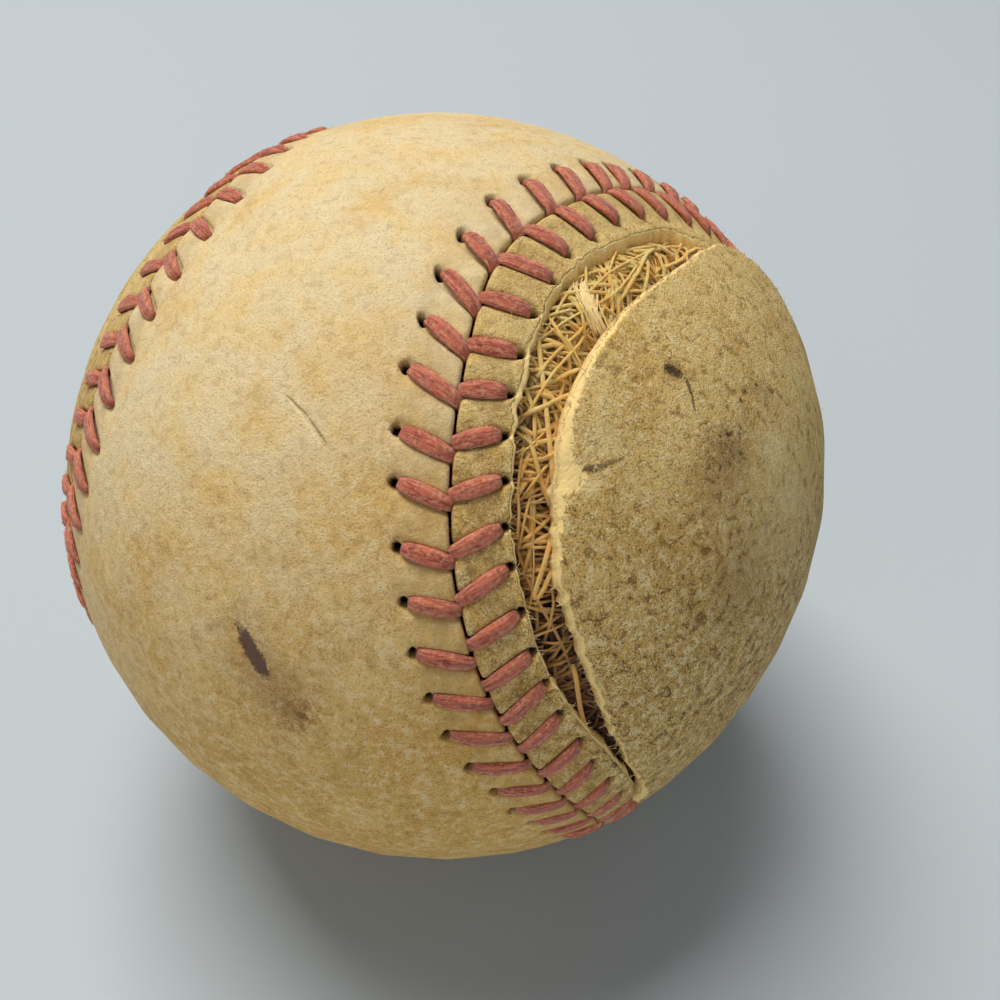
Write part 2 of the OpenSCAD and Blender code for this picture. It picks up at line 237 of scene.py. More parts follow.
grey_wool = wound_layer("grey_wool", (96, 96, 98), (176, 175, 172), 1.2)
white_wool = wound_layer("white_wool", (176, 168, 150), (236, 230, 214), 1.0)
for winding, wool in (("first", grey_wool), ("second", white_wool), ("third", grey_wool)):
    dress(winding + "_wool_winding", wool)
# The finishing winding is painted dark brown as shade, for the dark gaps under the loose yarn in the tear.
dress("finishing_winding", wound_layer("finishing_winding", (64, 40, 20), (136, 94, 46), 0.5))

# The finishing yarn
# One fine cotton yarn is wound over the wool in hundreds of turns that cross each other. Age has turned it golden
# tan. It shows only in the tear, where turns have worked loose and lie this way and that over dark gaps.
ball_r = 36.9
waist_w = 29.1
pitch_count = 108
lie_turns = np.radians([12.1, -6.5, -28.6])
dice = np.random.default_rng(12)


def turned_about(axis, angle):
    """The matrix that turns by an angle about one of the three axes."""
    a, b = [i for i in range(3) if i != axis]
    made = np.eye(3)
    made[a, a] = made[b, b] = math.cos(angle)
    made[b, a] = math.sin(angle) * (-1 if axis == 1 else 1)
    made[a, b] = -made[b, a]
    return made


lie = turned_about(2, lie_turns[2]) @ turned_about(1, lie_turns[1]) @ turned_about(0, lie_turns[0])


def seam_point(t):
    """The seam on a unit ball: while t runs from 0 to 4 pi it swings from pole to pole as a cosine, passing each
    at half a waist, and goes once round with a wobble of half a waist."""
    half_waist = waist_w / 2 / ball_r
    polar = math.pi / 2 - (math.pi / 2 - half_waist) * np.cos(t)
    around = t / 2 + half_waist * np.sin(2 * t)
    return np.stack([np.sin(polar) * np.cos(around), np.sin(polar) * np.sin(around), np.cos(polar)], -1)


seam_t = np.linspace(0, 4 * math.pi, 14401)
seam_run = np.diff(seam_point(seam_t), axis=0)
seam_s = np.concatenate([[0], np.cumsum(np.linalg.norm(seam_run, axis=1))]) * ball_r
seam_length = seam_s[-1]
pitch = seam_length / pitch_count
t_step = 1e-4


def unit(vectors):
    """Vectors of length 1."""
    return vectors / np.linalg.norm(vectors, axis=-1, keepdims=True)


def seam_place(s, d):
    """The direction of the place s along the seam and d across it, towards the whole panel where d > 0: the seam's
    point turned by d over the radius, square to the seam."""
    t = np.interp(np.mod(s, seam_length), seam_s, seam_t)
    point = seam_point(t)
    heading = unit(seam_point(t + t_step) - seam_point(t - t_step))
    turn = (np.asarray(d) / ball_r)[..., None]
    return point * np.cos(turn) + np.cross(point, heading) * np.sin(turn)


def at_places(s, places):
    """What a list of places along the seam, each with its value, gives at s: straight from one to the next."""
    return np.interp(s, *np.array(places).T)


def add_piece(name, points, faces, material, slot, marks=None, merge=False):
    """Makes a mesh of points, in the ball's own directions, and lists of faces. merge joins points that share
    a place, and faces that shrink to a line go. marks are numbers kept at each point."""
    points = points.reshape(-1, 3)
    marks = {mark: np.ravel(value) for mark, value in (marks or {}).items()}
    if merge:
        kept, index = np.unique(np.round(points, 5), axis=0, return_index=True, return_inverse=True)[1:]
        points, index = points[kept], index.ravel()
        marks = {mark: value[kept] for mark, value in marks.items()}
        faces = [index[each] for each in faces]
    corners, sizes = [], []
    for each in faces:
        real = each != np.roll(each, -1, axis=1)
        real &= (real.sum(1) > 2)[:, None]
        corners.append(each[real])
        sizes.append(real.sum(1)[real.any(1)])
    corners, sizes = np.concatenate(corners), np.concatenate(sizes)
    mesh = bpy.data.meshes.new(name)
    mesh.vertices.add(len(points))
    mesh.vertices.foreach_set("co", (points @ lie.T * MM).astype(np.float32).ravel())
    mesh.loops.add(len(corners))
    mesh.loops.foreach_set("vertex_index", corners.astype(np.int32))
    mesh.polygons.add(len(sizes))
    mesh.polygons.foreach_set("loop_start", np.concatenate([[0], np.cumsum(sizes)[:-1]]).astype(np.int32))
    mesh.update(calc_edges=True)
    mesh.validate()
    mesh.polygons.foreach_set("use_smooth", np.full(len(mesh.polygons), True))
    for mark, value in marks.items():
        mesh.attributes.new(mark, "FLOAT", "POINT").data.foreach_set("value", value.astype(np.float32))
    mesh.materials.append(material)
    made = bpy.data.objects.new(name, mesh)
    bpy.context.scene.collection.objects.link(made)
    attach(made, "root")
    return made


def swept(lines, up, profile_w, profile_h):
    """Tubes along lines of points, an array of tube by ring by 3. Each ring stands square to its line, with
    profile_w beside the line and profile_h along up, both given at each point of the profile.
    Returns the points and the faces: the walls, and an end face at each end of each tube."""
    count, rings, sides = lines.shape[0], lines.shape[1], profile_w.shape[-1]
    heading = unit(np.gradient(lines, axis=1))
    aside = unit(np.cross(heading, up))
    rise = np.cross(aside, heading)
    points = (lines[:, :, None] + aside[:, :, None] * profile_w[..., None]
              + rise[:, :, None] * profile_h[..., None])
    number = np.arange(count * rings * sides).reshape(count, rings, sides)
    on = np.roll(number, -1, axis=2)
    walls = np.stack([number[:, :-1], number[:, 1:], on[:, 1:], on[:, :-1]], -1).reshape(-1, 4)
    return points, [walls, number[:, 0], number[:, -1][:, ::-1]]


def round_profile(width, height, sides):
    """A ring of points, width across and height through."""
    angle = 2 * math.pi * np.arange(sides) / sides
    return width / 2 * np.cos(angle)[None, None], height / 2 * np.sin(angle)[None, None]


winding_yarn_d = 0.46
yarn_sides = 5
winding_loops = 96
loop_rings = 56
winding_tips = 7
winding_swing = 0.618
winding_swing_loops = 5
winding_inner_r = 33.8
winding_outer_r = 34.8


def wound_line():
    """One unbroken yarn: a point circles the ball once a loop, while the circle's plane tips over and swings
    round at steady rates, and the yarn climbs slowly outwards."""
    loops = np.linspace(0, winding_loops, winding_loops * loop_rings + 1)
    turn = 2 * math.pi * loops
    tip = math.pi * loops / winding_loops * winding_tips
    swing = 2 * math.pi * loops * winding_swing / winding_swing_loops
    level = np.stack([np.cos(swing), np.sin(swing), 0 * swing], -1)
    steep = np.stack([-np.sin(swing) * np.cos(tip), np.cos(swing) * np.cos(tip), np.sin(tip)], -1)
    circle = np.cos(turn)[:, None] * level + np.sin(turn)[:, None] * steep
    r = winding_inner_r + (winding_outer_r - winding_inner_r) * loops / winding_loops
    return (circle * r[:, None])[None]


def attribute(tree, name):
    """A number kept at the mesh's points."""
    return put(tree, "Attribute", {}, attribute_name=name).outputs["Fac"]


def vector_calc(tree, operation, *vectors, **feeds):
    """One step with vectors. It gives a number where it is a dot product or a length."""
    made = put(tree, "VectorMath", {**dict(enumerate(vectors)), **feeds}, operation=operation)
    return made.outputs["Value" if operation in ("DOT_PRODUCT", "LENGTH") else "Vector"]


# Painted shade on the golden yarn: browner below one height, and dark brown between two radii, which count as
# higher in the upper part of the tear so that the yarn stays light there.
low_shade_z = (29, 24)
shaded_r = (35.45, 34.7)
lit_z = (19, 28)
lit_r = 1.5


def make_yarn_material():
    """Golden cotton with fine fibres and paler lengths. It is painted browner low in the tear as shade, and painted
    dark brown as shade where it lies deep, which is a smaller radius where the tear faces up, or where its painted
    shade mark says so."""
    material, tree, shader = new_material("golden_yarn", 0.85, Specular_IOR_Level=0.2, Sheen_Weight=0.3)
    place = object_place(tree)
    lengths = between(tree, clouds(tree, place, 1.3, 3.0), 0.35, 0.65)
    fibre = clouds(tree, place, 0.1, 4.0, 1.5)
    tone = mix(tree, lengths, (254, 198, 90), (255, 226, 136))
    tone = mix(tree, between(tree, fibre, 0.5, 0.75), tone, (255, 232, 164))
    tone = mix(tree, between(tree, fibre, 0.42, 0.28), tone, (206, 134, 44))
    up = put(tree, "SeparateXYZ", {0: place}).outputs["Z"]
    low_shade, lit = (between(tree, up, low * MM, high * MM) for low, high in (low_shade_z, lit_z))
    tone = mix(tree, times(tree, low_shade, 0.4), tone, (222, 140, 50))
    # Painted shade: the yarn turns dark brown below a radius, counted higher in the upper tear, and where its
    # painted shade mark says so.
    out = plus(tree, vector_calc(tree, "LENGTH", place), times(tree, lit, lit_r * MM))
    deep = between(tree, out, shaded_r[0] * MM, shaded_r[1] * MM)
    dark = calc(tree, "MAXIMUM", deep, attribute(tree, "painted_shade"))
    feed(tree, shader, Base_Color=mix(tree, dark, tone, (90, 36, 10)), Normal=bump(tree, fibre, 0.12))
    return material


golden_yarn = make_yarn_material()
line = wound_line()
points, faces = swept(line, unit(line), *round_profile(winding_yarn_d, winding_yarn_d, yarn_sides))
winding = add_piece("finishing_yarn_winding", points, faces, golden_yarn, "finishing_yarn")
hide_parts("finishing_yarn")

loose_yarn_d = 0.36
loose_flatness = 0.85
loose_shares = (0.4, 1.2)
loose_strands = 1120
strand_rings = 11
strand_half = (4.5, 9)
strand_d = (4.4, 9.2)
strand_bow = 0.9
strand_wave = 0.2
strand_waves = (12, 42)
tear_span = (-64, 62)
past_tear = 12
densest_s = 8
probe_step = 0.1
crossing_share = 0.84
crossing_places = [(-12, 0.5), (2, 1.1)]
lengthwise_lean = (1.45, 0.2)
loose_inner_r = 34.3
loose_outer_r = 35.25
loose_rise = 1.0
heap_rise = 0.3
deep_sink = 0.5
deep_from_s = (-46, -14)
# Painted shade on the loose yarn: beside the strip's wall, where its shadow falls, and on the strands that lie
# lowest, less of both towards the top of the tear.
strip_shade = 0.4
strip_shade_share = 0.8
heap_shade_most = 0.95
heap_shade_fall = 1.35
shade_places = [(-8, 0.9), (4, 0.15)]
# Where the gap is: s, the gap's middle off the seam, and half its width.
gap_places = [(-60, 4.3, 0.4), (-45, 5.9, 0.7), (-10, 6.2, 1.5), (5, 7.5, 2.3), (20, 6.9, 1.3), (62, 5.6, 0.4)]


def loose_line():
    """Lengths of yarn across the tear: each is a short arc whose middle lies in the tear, turned by its own angle
    from the way across, bowed, waved, and risen by a bell curve where the tear is open over it. Also gives each
    point's painted shade: dark beside the strip's wall, where its shadow falls on most strands, and on the strands
    lowest in the heap, both fading towards the top of the tear."""
    s = dice.triangular(tear_span[0] - past_tear, densest_s, tear_span[1] + past_tear, loose_strands)
    d = -dice.uniform(*strand_d, loose_strands)
    middle = seam_place(s, d)
    along = unit(seam_place(s + probe_step, d) - middle)
    across = np.cross(middle, along)
    crossing = dice.random(loose_strands) < crossing_share
    lean = np.where(crossing, dice.normal(0, 1, loose_strands) * at_places(s, crossing_places),
                    dice.normal(*lengthwise_lean, loose_strands))
    way = np.cos(lean)[:, None] * across + np.sin(lean)[:, None] * along
    beside = np.cross(middle, way)
    half = dice.uniform(*strand_half, loose_strands)
    run = np.linspace(-1, 1, strand_rings)[None] * half[:, None] / ball_r
    bow = dice.normal(0, strand_bow, loose_strands)[:, None] * (1 - (run / run.max()) ** 2) / ball_r
    wave = strand_wave / ball_r * np.sin(run * dice.uniform(*strand_waves, loose_strands)[:, None] + s[:, None])
    path = (middle[:, None] * np.cos(run)[..., None] + way[:, None] * np.sin(run)[..., None]
            + beside[:, None] * (bow + wave)[..., None])
    r = np.sort(dice.uniform(loose_inner_r, loose_outer_r, loose_strands))[:, None]
    where, gap_middle, gap_half = np.array(gap_places).T
    from_middle = -d[:, None] - run * ball_r * np.cos(lean)[:, None] - np.interp(s, where, gap_middle)[:, None]
    from_middle = from_middle / np.interp(s, where, gap_half)[:, None]
    bell = np.exp(-(from_middle ** 2))
    high = np.clip((s - deep_from_s[0]) / (deep_from_s[1] - deep_from_s[0]), 0, 1)[:, None]
    r = r + (r - loose_inner_r) * (loose_rise * high * bell - deep_sink * (1 - high)) + heap_rise * high * bell
    by_strip = np.clip((-from_middle - strip_shade) / strip_shade, 0, 1)
    by_strip = by_strip * (dice.random((loose_strands, 1)) < strip_shade_share)
    low = np.clip(heap_shade_most - heap_shade_fall * np.linspace(0, 1, loose_strands), 0, 1)[:, None]
    return unit(path) * r[..., None], np.maximum(by_strip, low) * at_places(s, shade_places)[:, None]


line, painted_shade = loose_line()
thickness = dice.uniform(*loose_shares, loose_strands)[:, None, None]
profile_w, profile_h = round_profile(loose_yarn_d, loose_yarn_d * loose_flatness, yarn_sides)
points, faces = swept(line, unit(line), profile_w * thickness, profile_h * thickness)
# The painted shade is kept at each point for the yarn's material.
add_piece("loose_yarn_in_tear", points, faces, golden_yarn, "finishing_yarn",
          {"painted_shade": np.broadcast_to(painted_shade[..., None], points.shape[:3])})

# Single strands that lie on the heap, each by its turning points: s, and how far off the seam.
placed_strands = [
    [(-1.0, 4.2), (-4.6, 4.8), (-8.1, 5.7), (-11.0, 6.5), (-14.3, 7.2), (-17.8, 7.8), (-20.5, 8.4)],
    [(-22.8, 8.3), (-24.0, 7.5), (-25.8, 6.9), (-27.4, 6.2), (-28.9, 5.5), (-29.0, 5.9), (-28.0, 6.7),
     (-26.6, 7.4), (-26.0, 8.3)],
    [(8.5, 7.1), (6.0, 7.8), (4.4, 8.4), (1.7, 8.9), (-0.5, 9.6)],
    [(-37.0, 7.2), (-39.7, 6.3), (-42.6, 5.5), (-46.1, 4.8), (-48.6, 4.4)],
]
placed_rings = 14
placed_sides = 8
placed_r = 36.15
placed_dip = 0.9
placed_w, placed_h = 0.4, 0.36
tuft_strands = 110
tuft_rings = 10
tuft_sides = 4
tuft_from = (3.2, 6.7)
tuft_to = (-0.9, 9.4)
tuft_spread = (0.48, 0.6)
tuft_wave = 0.16
tuft_turns = 6
tuft_bow = 1.3
tuft_r = 36.3
tuft_arch = 0.35
tuft_dip = 0.5
tuft_w, tuft_h = 0.12, 0.08


def placed_line(turning_points):
    """A strand through its turning points, rounded between them by a moving mean. It lies on the others and dips
    at both ends."""
    s, d = np.array(turning_points).T
    even = np.linspace(0, len(s) - 1, placed_rings + 2)
    s, d = (np.convolve(np.interp(even, np.arange(len(s)), each), np.full(3, 1 / 3), "valid") for each in (s, d))
    share = np.linspace(-1, 1, placed_rings)
    return seam_place(s, -d) * (placed_r - placed_dip * share ** 6)[:, None]


def tuft_line():
    """A bundle of fine loose fibres that fans out from one end, waves a little and lies above the yarn."""
    share = np.linspace(0, 1, tuft_rings)
    from_s, from_d = (value + dice.normal(0, tuft_spread[0], (tuft_strands, 1)) for value in tuft_from)
    to_s, to_d = (value + dice.normal(0, tuft_spread[1], (tuft_strands, 1)) for value in tuft_to)
    wave = dice.normal(0, tuft_wave, (tuft_strands, 1))
    wave = wave * np.sin(share * tuft_turns + dice.uniform(0, tuft_turns, (tuft_strands, 1)))
    s = from_s + (to_s - from_s) * share + wave
    d = from_d + (to_d - from_d) * share ** tuft_bow - wave
    arch = dice.uniform(0, tuft_arch, (tuft_strands, 1)) * np.sin(share * 3)
    return seam_place(s, -d) * (tuft_r + arch - tuft_dip * share ** 4)[..., None]


line = np.stack([placed_line(strand) for strand in placed_strands])
points, faces = swept(line, unit(line), *round_profile(placed_w, placed_h, placed_sides))
add_piece("long_loose_yarn", points, faces, golden_yarn, "finishing_yarn")
line = tuft_line()
points, faces = swept(line, unit(line), *round_profile(tuft_w, tuft_h, tuft_sides))
tuft_fibre, tree, shader = new_material("tuft_fibre", 0.8, Specular_IOR_Level=0.25, Sheen_Weight=0.4)
tuft_streak = clouds(tree, object_place(tree), 0.4, 2.0)
feed(tree, shader, Base_Color=mix(tree, tuft_streak, (240, 204, 122), (255, 234, 174)))
add_piece("tuft_of_loose_fibres", points, faces, tuft_fibre, "finishing_yarn")

# The whole leather panel
# One figure-of-eight piece of leather, 1.3 mm thick, wetted and stretched over the winding. Its edge is punched
# with 108 holes and drawn to the other panel's edge, so the leather puckers up between the stitches.
leather_inner_r = 35.6
slit_half = 0.1
hole_row = 4.05
vee_length = 1.5
first_hole = 0.45
border_w = 5.25
rim_rows = np.array([0, 0.04, 0.11, 0.21, 0.35, 0.55, 0.85, 1.25, 1.7, 2.15, 2.6, 2.95, 3.2, 3.4, 3.56, 3.7, 3.84,
                     3.98, 4.12, 4.26, 4.4, 4.56, 4.74, 4.96, border_w])
half_cell_shares = np.array([0.048, 0.095, 0.14, 0.185, 0.235, 0.3, 0.4])
cell_shares = np.concatenate([[-0.5], -half_cell_shares[::-1], [0], half_cell_shares])
columns = pitch_count * len(cell_shares)
column_cell = np.repeat(np.arange(pitch_count), len(cell_shares))
column_share = np.tile(cell_shares, pitch_count)
column_s = first_hole + (column_cell + column_share) * pitch
edge_rows = np.array([0, 0.08, 0.18, 0.3, 0.44, 0.62, 0.85, 1.15, 1.55, 2.1, 2.9, 4.0])
even_rows = 6
under_shares = np.array([[0, 0.004, 0.03, 0.12, 0.3, 0.5, 0.7, 0.88, 0.97, 0.996, 1]])
edge_reach = 15.0
fray_reach = 1.3
round_r = 0.42
pit_depth = 1.1
pit_w = 0.42
pit_further = 0.06
pit_wall = (0.6, 0.5)
# Where a hole is painted black as shade.
hole_shade = (0.7, 0.3)
dimple_depth = 0.07
dimple_w = 0.9
notch_depth = 0.24
notch_w = 0.5
thread_bed = (0.48, 0.36)
valley_depth = 0.34
valley_end = (-0.25, 0.5)
pucker_h = 0.2
pucker_reach = 2.9
grime_end = (3.3, 1.6)
swell_h = 0.16
swell_waves = np.array([2.3, 3.1, 4.2, 5.4, 7.1, 9.0, 12.0])
swell_phase = 1.7
pull_w = 0.8
pull_spread = 0.5
edge_step = 4
wall_rows = 5
wall_lean = 0.2
slit_raw = 0.7
least_tear = 0.02
worn_drop = 0.16
lip_end = (0.8, 0.4)
lip_step = 0.12
lip_drop = 0.35
settle_columns = 90
border_fade = 1.2


def smooth(share):
    """Rises from 0 to 1 with no corner."""
    share = np.clip(share, 0, 1)
    return share * share * (3 - 2 * share)


def fades(value, start, width):
    """Falls from 1 where value is start to 0 a width further, with no corner."""
    return 1 - smooth((value - start) / width)


def over_ball(cosine):
    """The way over the ball between two directions, from the cosine of the angle between them."""
    return ball_r * np.arccos(np.clip(cosine, -1, 1))


def at_columns(values):
    """Values of the 108 cells, blended along the rim from the middle of one cell to the middle of the next."""
    middles = np.arange(-1, pitch_count + 1)
    return np.interp(column_cell + column_share, middles, np.concatenate([values[-1:], values, values[:1]]))


def row_shares(length):
    """Where the rows lie, in shares of each way over a lobe: close by both ends, and even between them."""
    near = edge_rows / np.maximum(length, 2.6 * edge_rows[-1])
    even = near[:, -1:] + (1 - 2 * near[:, -1:]) * np.arange(1, even_rows + 1) / (even_rows + 1)
    return np.concatenate([near, even, 1 - near[:, ::-1]], axis=1)


class Stitches:
    """One side's stitches. Hand sewing wanders about the even spacing: where the holes and the legs' ends in the
    slit could be measured they have their own places, and the rest wander by chance about the usual one."""
    wander_s = 0.14
    wander_out = 0.1
    plumpness = (0.8, 1.15)

    def __init__(self, side, usual, first_seen, holes_s, holes_out, ends_s):
        self.side = side
        seen = np.mod(first_seen + np.arange(len(holes_s)), pitch_count)
        self.hole_s, self.end_s = (value + dice.normal(0, self.wander_s, pitch_count) for value in usual)
        self.hole_out = hole_row + dice.normal(0, self.wander_out, pitch_count)
        self.plump = dice.uniform(*self.plumpness, pitch_count)
        self.hole_s[seen], self.hole_out[seen], self.end_s[seen] = holes_s, holes_out, ends_s
        self.border_s = column_s + at_columns(self.hole_s)

    def rim_s(self, d):
        """Place along the seam of each column at the distance d from it: columns lean as the stitches do."""
        inward = np.clip(1 - d / hole_row, 0, 1)
        return (column_s - vee_length * inward + at_columns(self.end_s) * inward
                + at_columns(self.hole_s) * (1 - inward))


def rim_height(d, edge, hole, plump):
    """Height of the leather round the seam, and how far a point is in a hole, where it is painted black as shade.
    The edge is rounded over, a valley runs under each stitch to its hole, a pucker stands between stitches, and the
    hole is a pit in a dimple."""
    u = column_share * pitch
    rounded = -round_r + np.sqrt(round_r ** 2 - np.clip(round_r - (d - edge), 0, round_r) ** 2)
    valley = -valley_depth * fades(np.abs(u), *thread_bed) * fades(d - hole, *valley_end)
    between_threads = np.cos(math.pi * (0.5 - np.abs(u) / pitch)) ** 2
    pucker = pucker_h * plump * between_threads * np.exp(-((d / pucker_reach) ** 2))
    from_hole = np.hypot(u / pit_w, (d - hole - pit_further) / pit_w)
    pit = -pit_depth * fades(from_hole, *pit_wall)
    dimple = -dimple_depth * np.exp(-(u ** 2 + (d - hole) ** 2) / dimple_w ** 2)
    return rounded + valley + pucker + pit + dimple, fades(from_hole, *hole_shade)


def unevenness(direction):
    """Slow swells of the wound ball under the leather: a sum of waves in fixed directions."""
    ways = unit(np.random.default_rng(3).normal(size=(len(swell_waves), 3)))
    phases = np.arange(len(swell_waves)) * swell_phase
    return (swell_h / swell_waves * np.sin(np.tensordot(direction, ways.T, 1) * swell_waves + phases)).sum(-1)


def between_places(first, second, shares):
    """Places along the shortest way over the ball from each first direction to its second."""
    turn = np.arccos(np.clip((first * second).sum(-1), -1, 1))[:, None, None]
    shares = shares[..., None]
    safe = np.maximum(np.sin(turn), 1e-9)
    path = (first[:, None] * np.sin((1 - shares) * turn) + second[:, None] * np.sin(shares * turn)) / safe
    return np.where(turn < 1e-6, first[:, None], path)


def drawn_in(direction, calm, edge):
    """Places over a lobe, moved as its edge moves from calm to edge: each by the mean of the edge's moves, weighed
    by nearness, and less the further in it lies."""
    away = over_ball(direction @ calm[::edge_step].T)
    nearest = away.min(-1, keepdims=True)
    weight = np.exp((nearest ** 2 - away ** 2) / (pull_w + pull_spread * nearest) ** 2)
    move = weight @ (edge - calm)[::edge_step] / weight.sum(-1, keepdims=True)
    return direction + move * fades(nearest, 0, edge_reach)


class Sheet:
    """Grids of points that are sewn into one closed sheet of leather, with the marks that its material reads: hole
    for where it is painted black as shade, raw for cut and torn leather, deep for how far down a wall, and rim for
    what lies near the seam."""

    def __init__(self):
        self.points, self.faces, self.count = [], [], 0
        self.marks = {"hole": [], "raw": [], "deep": [], "rim": []}

    def add(self, points, closed=False, use=slice(None), **marks):
        """Adds a grid. closed joins its last column to its first, and use picks columns of faces."""
        rows, across = points.shape[:2]
        number = self.count + np.arange(rows * across).reshape(rows, across)
        self.count += number.size
        if closed:
            number = np.concatenate([number, number[:, :1]], axis=1)
        made = np.stack([number[:-1, :-1], number[:-1, 1:], number[1:, 1:], number[1:, :-1]], -1)[:, use]
        self.points.append(points.reshape(-1, 3))
        self.faces.append(made.reshape(-1, 4))
        for mark, kept in self.marks.items():
            kept.append(np.broadcast_to(marks.get(mark, 0), (rows, across)).ravel())

    def add_wall(self, top, foot, rough=0, **settings):
        """Adds the wall from one edge of the leather straight in to the other. Halfway it stands out by rough."""
        down = np.linspace(0, 1, wall_rows)[:, None, None]
        self.add(top * (1 - down) + foot * down + rough * np.sin(math.pi * down), deep=down[..., 0], **settings)

    def finish(self, name, material, slot):
        """Makes the sheet's piece, with shared points merged and every face turned outwards."""
        marks = {mark: np.concatenate(values) for mark, values in self.marks.items()}
        made = add_piece(name, np.concatenate(self.points), self.faces, material, slot, marks, merge=True)
        work = bmesh.new()
        work.from_mesh(made.data)
        bmesh.ops.recalc_face_normals(work, faces=work.faces)
        work.to_mesh(made.data)
        work.free()
        return made


class PlainLobes:
    """The edges of a panel that isn't torn: the two borders are the same line."""

    def __init__(self, stitches):
        self.strip_edge = self.flap_edge = np.full(columns, border_w)
        self.flap_s = stitches.border_s
        self.free = self.fray = self.bevel = np.zeros(columns)
        self.lip_w = self.strip_lip_w = np.ones(columns)

    def lift(self, direction, free):
        """Leather that lies tight on the winding."""
        return np.zeros(direction.shape[:-1])


def make_panel(name, stitches, lobes, material, slot):
    """A panel of leather as one closed sheet. Its rim is a grid in places along and across the seam. From the
    rim's border, rows join the columns before and behind each tip by the shortest way over the ball, and are then
    drawn in to the true edge. Where the flap's edge is further from the seam than the strip's, the sheet is torn
    and both torn edges get walls."""
    sheet, side = Sheet(), stitches.side
    torn = lobes.flap_edge > lobes.strip_edge + least_tear
    edge = slit_half + notch_depth * np.exp(-((column_share * pitch / notch_w) ** 2))
    hole, plump = at_columns(stitches.hole_out), at_columns(stitches.plump)

    d = np.minimum(edge + rim_rows[:, None] * (border_w - edge) / border_w, lobes.strip_edge)
    d[-1] = lobes.strip_edge
    direction = seam_place(stitches.rim_s(d), side * d)
    # The second value marks where a hole is painted black as shade.
    height, pit = rim_height(d, edge, hole, plump)
    worn = np.where(torn, np.clip(1 - (lobes.strip_edge - d) / (2 * lobes.strip_lip_w), 0, 1), 0)
    top = direction * (ball_r + height + unevenness(direction) - worn_drop * worn ** 2)[..., None]
    near = fades(d, *grime_end)
    sheet.add(top, True, hole=pit, rim=near, raw=worn)
    sheet.add_wall(top[0], direction[0] * leather_inner_r, closed=True, raw=slit_raw, rim=1)
    under_d = edge + (lobes.strip_edge + lobes.bevel - edge) * np.array([0, 0.3, 0.7, 1])[:, None]
    under = seam_place(stitches.rim_s(under_d), side * under_d) * leather_inner_r
    sheet.add(under, True, raw=1, deep=1, rim=1)
    border_height = np.where(torn, 0, height[-1])

    flap = np.where(torn[:, None], seam_place(lobes.flap_s, side * lobes.flap_edge), direction[-1])
    calm = seam_place(column_s, np.full(columns, side * border_w))
    first_tip = np.abs(column_s[:len(cell_shares)]).argmin()
    step = np.arange(columns // 4 + 1)
    for tip in first_tip + columns // 4 * np.array([0, 2] if side < 0 else [1, 3]):
        ends = [np.mod(tip - step, columns), np.mod(tip + step, columns)]
        length = over_ball((calm[ends[0]] * calm[ends[1]]).sum(-1))[:, None]
        tops = None
        for shares, outer in ((row_shares(length), True), (under_shares + 0 * length, False)):
            aways = (length * shares, length * (1 - shares))
            direction = drawn_in(between_places(calm[ends[0]], calm[ends[1]], shares), calm, flap)
            misses = [flap[ends[0]] - direction[:, 0], flap[ends[1]] - direction[:, -1]]
            free = 1
            for away, nearness, end, miss in zip(aways, (1 - shares, shares), ends, misses):
                steer = nearness * fades(away, 0, fray_reach) * smooth(step / settle_columns)[:, None]
                direction = direction + miss[:, None] * steer[..., None]
                free = free - nearness ** 4 * (1 - lobes.free[end])[:, None]
            direction = unit(direction)
            patch_r = (ball_r + unevenness(direction) if outer else leather_inner_r) + lobes.lift(direction, free)
            raw = rim = 0 * direction[..., 0]
            if torn.any():
                to_edge = over_ball(direction @ flap[torn].T)
                lip_share = to_edge.min(-1) / lobes.lip_w[torn][to_edge.argmin(-1)]
                raw = np.clip(1 - lip_share / 2, 0, 1)
                if outer:
                    patch_r -= lip_step * fades(lip_share, *lip_end) + lip_drop * smooth(1 - lip_share) ** 2
            for away, end in zip(aways, ends):
                sewn = np.where(torn[end], 0, 1)[:, None]
                rim = np.maximum(rim, sewn * near[-1][end][:, None] * smooth(1 - away))
                if outer:
                    patch_r += sewn * border_height[end][:, None] * fades(away, 0, border_fade)
            patch = direction * patch_r[..., None]
            for column, end in ((0, ends[0]), (-1, ends[1])):
                border = (top if outer else under)[-1][end]
                patch[:, column] = np.where(torn[end][:, None], patch[:, column], border)
            sheet.add(patch, raw=raw if outer else 1, deep=0 if outer else 1, rim=rim)
            if outer:
                tops = patch
        for column, inner_column, end in ((0, 1, ends[0]), (-1, -2, ends[1])):
            here = torn[end]
            rough = unit(direction[:, inner_column] - direction[:, column] + 1e-9) * lobes.fray[end][:, None]
            sheet.add_wall(tops[:, column], patch[:, column], rough, use=here[:-1] | here[1:], raw=1)
    rough = unit(seam_place(stitches.border_s, side * (lobes.strip_edge - wall_lean)) - unit(top[-1]))
    sheet.add_wall(top[-1], under[-1], rough * lobes.fray[:, None],
                   closed=True, use=torn | np.roll(torn, -1), raw=1)
    return sheet.finish(name, material, slot)


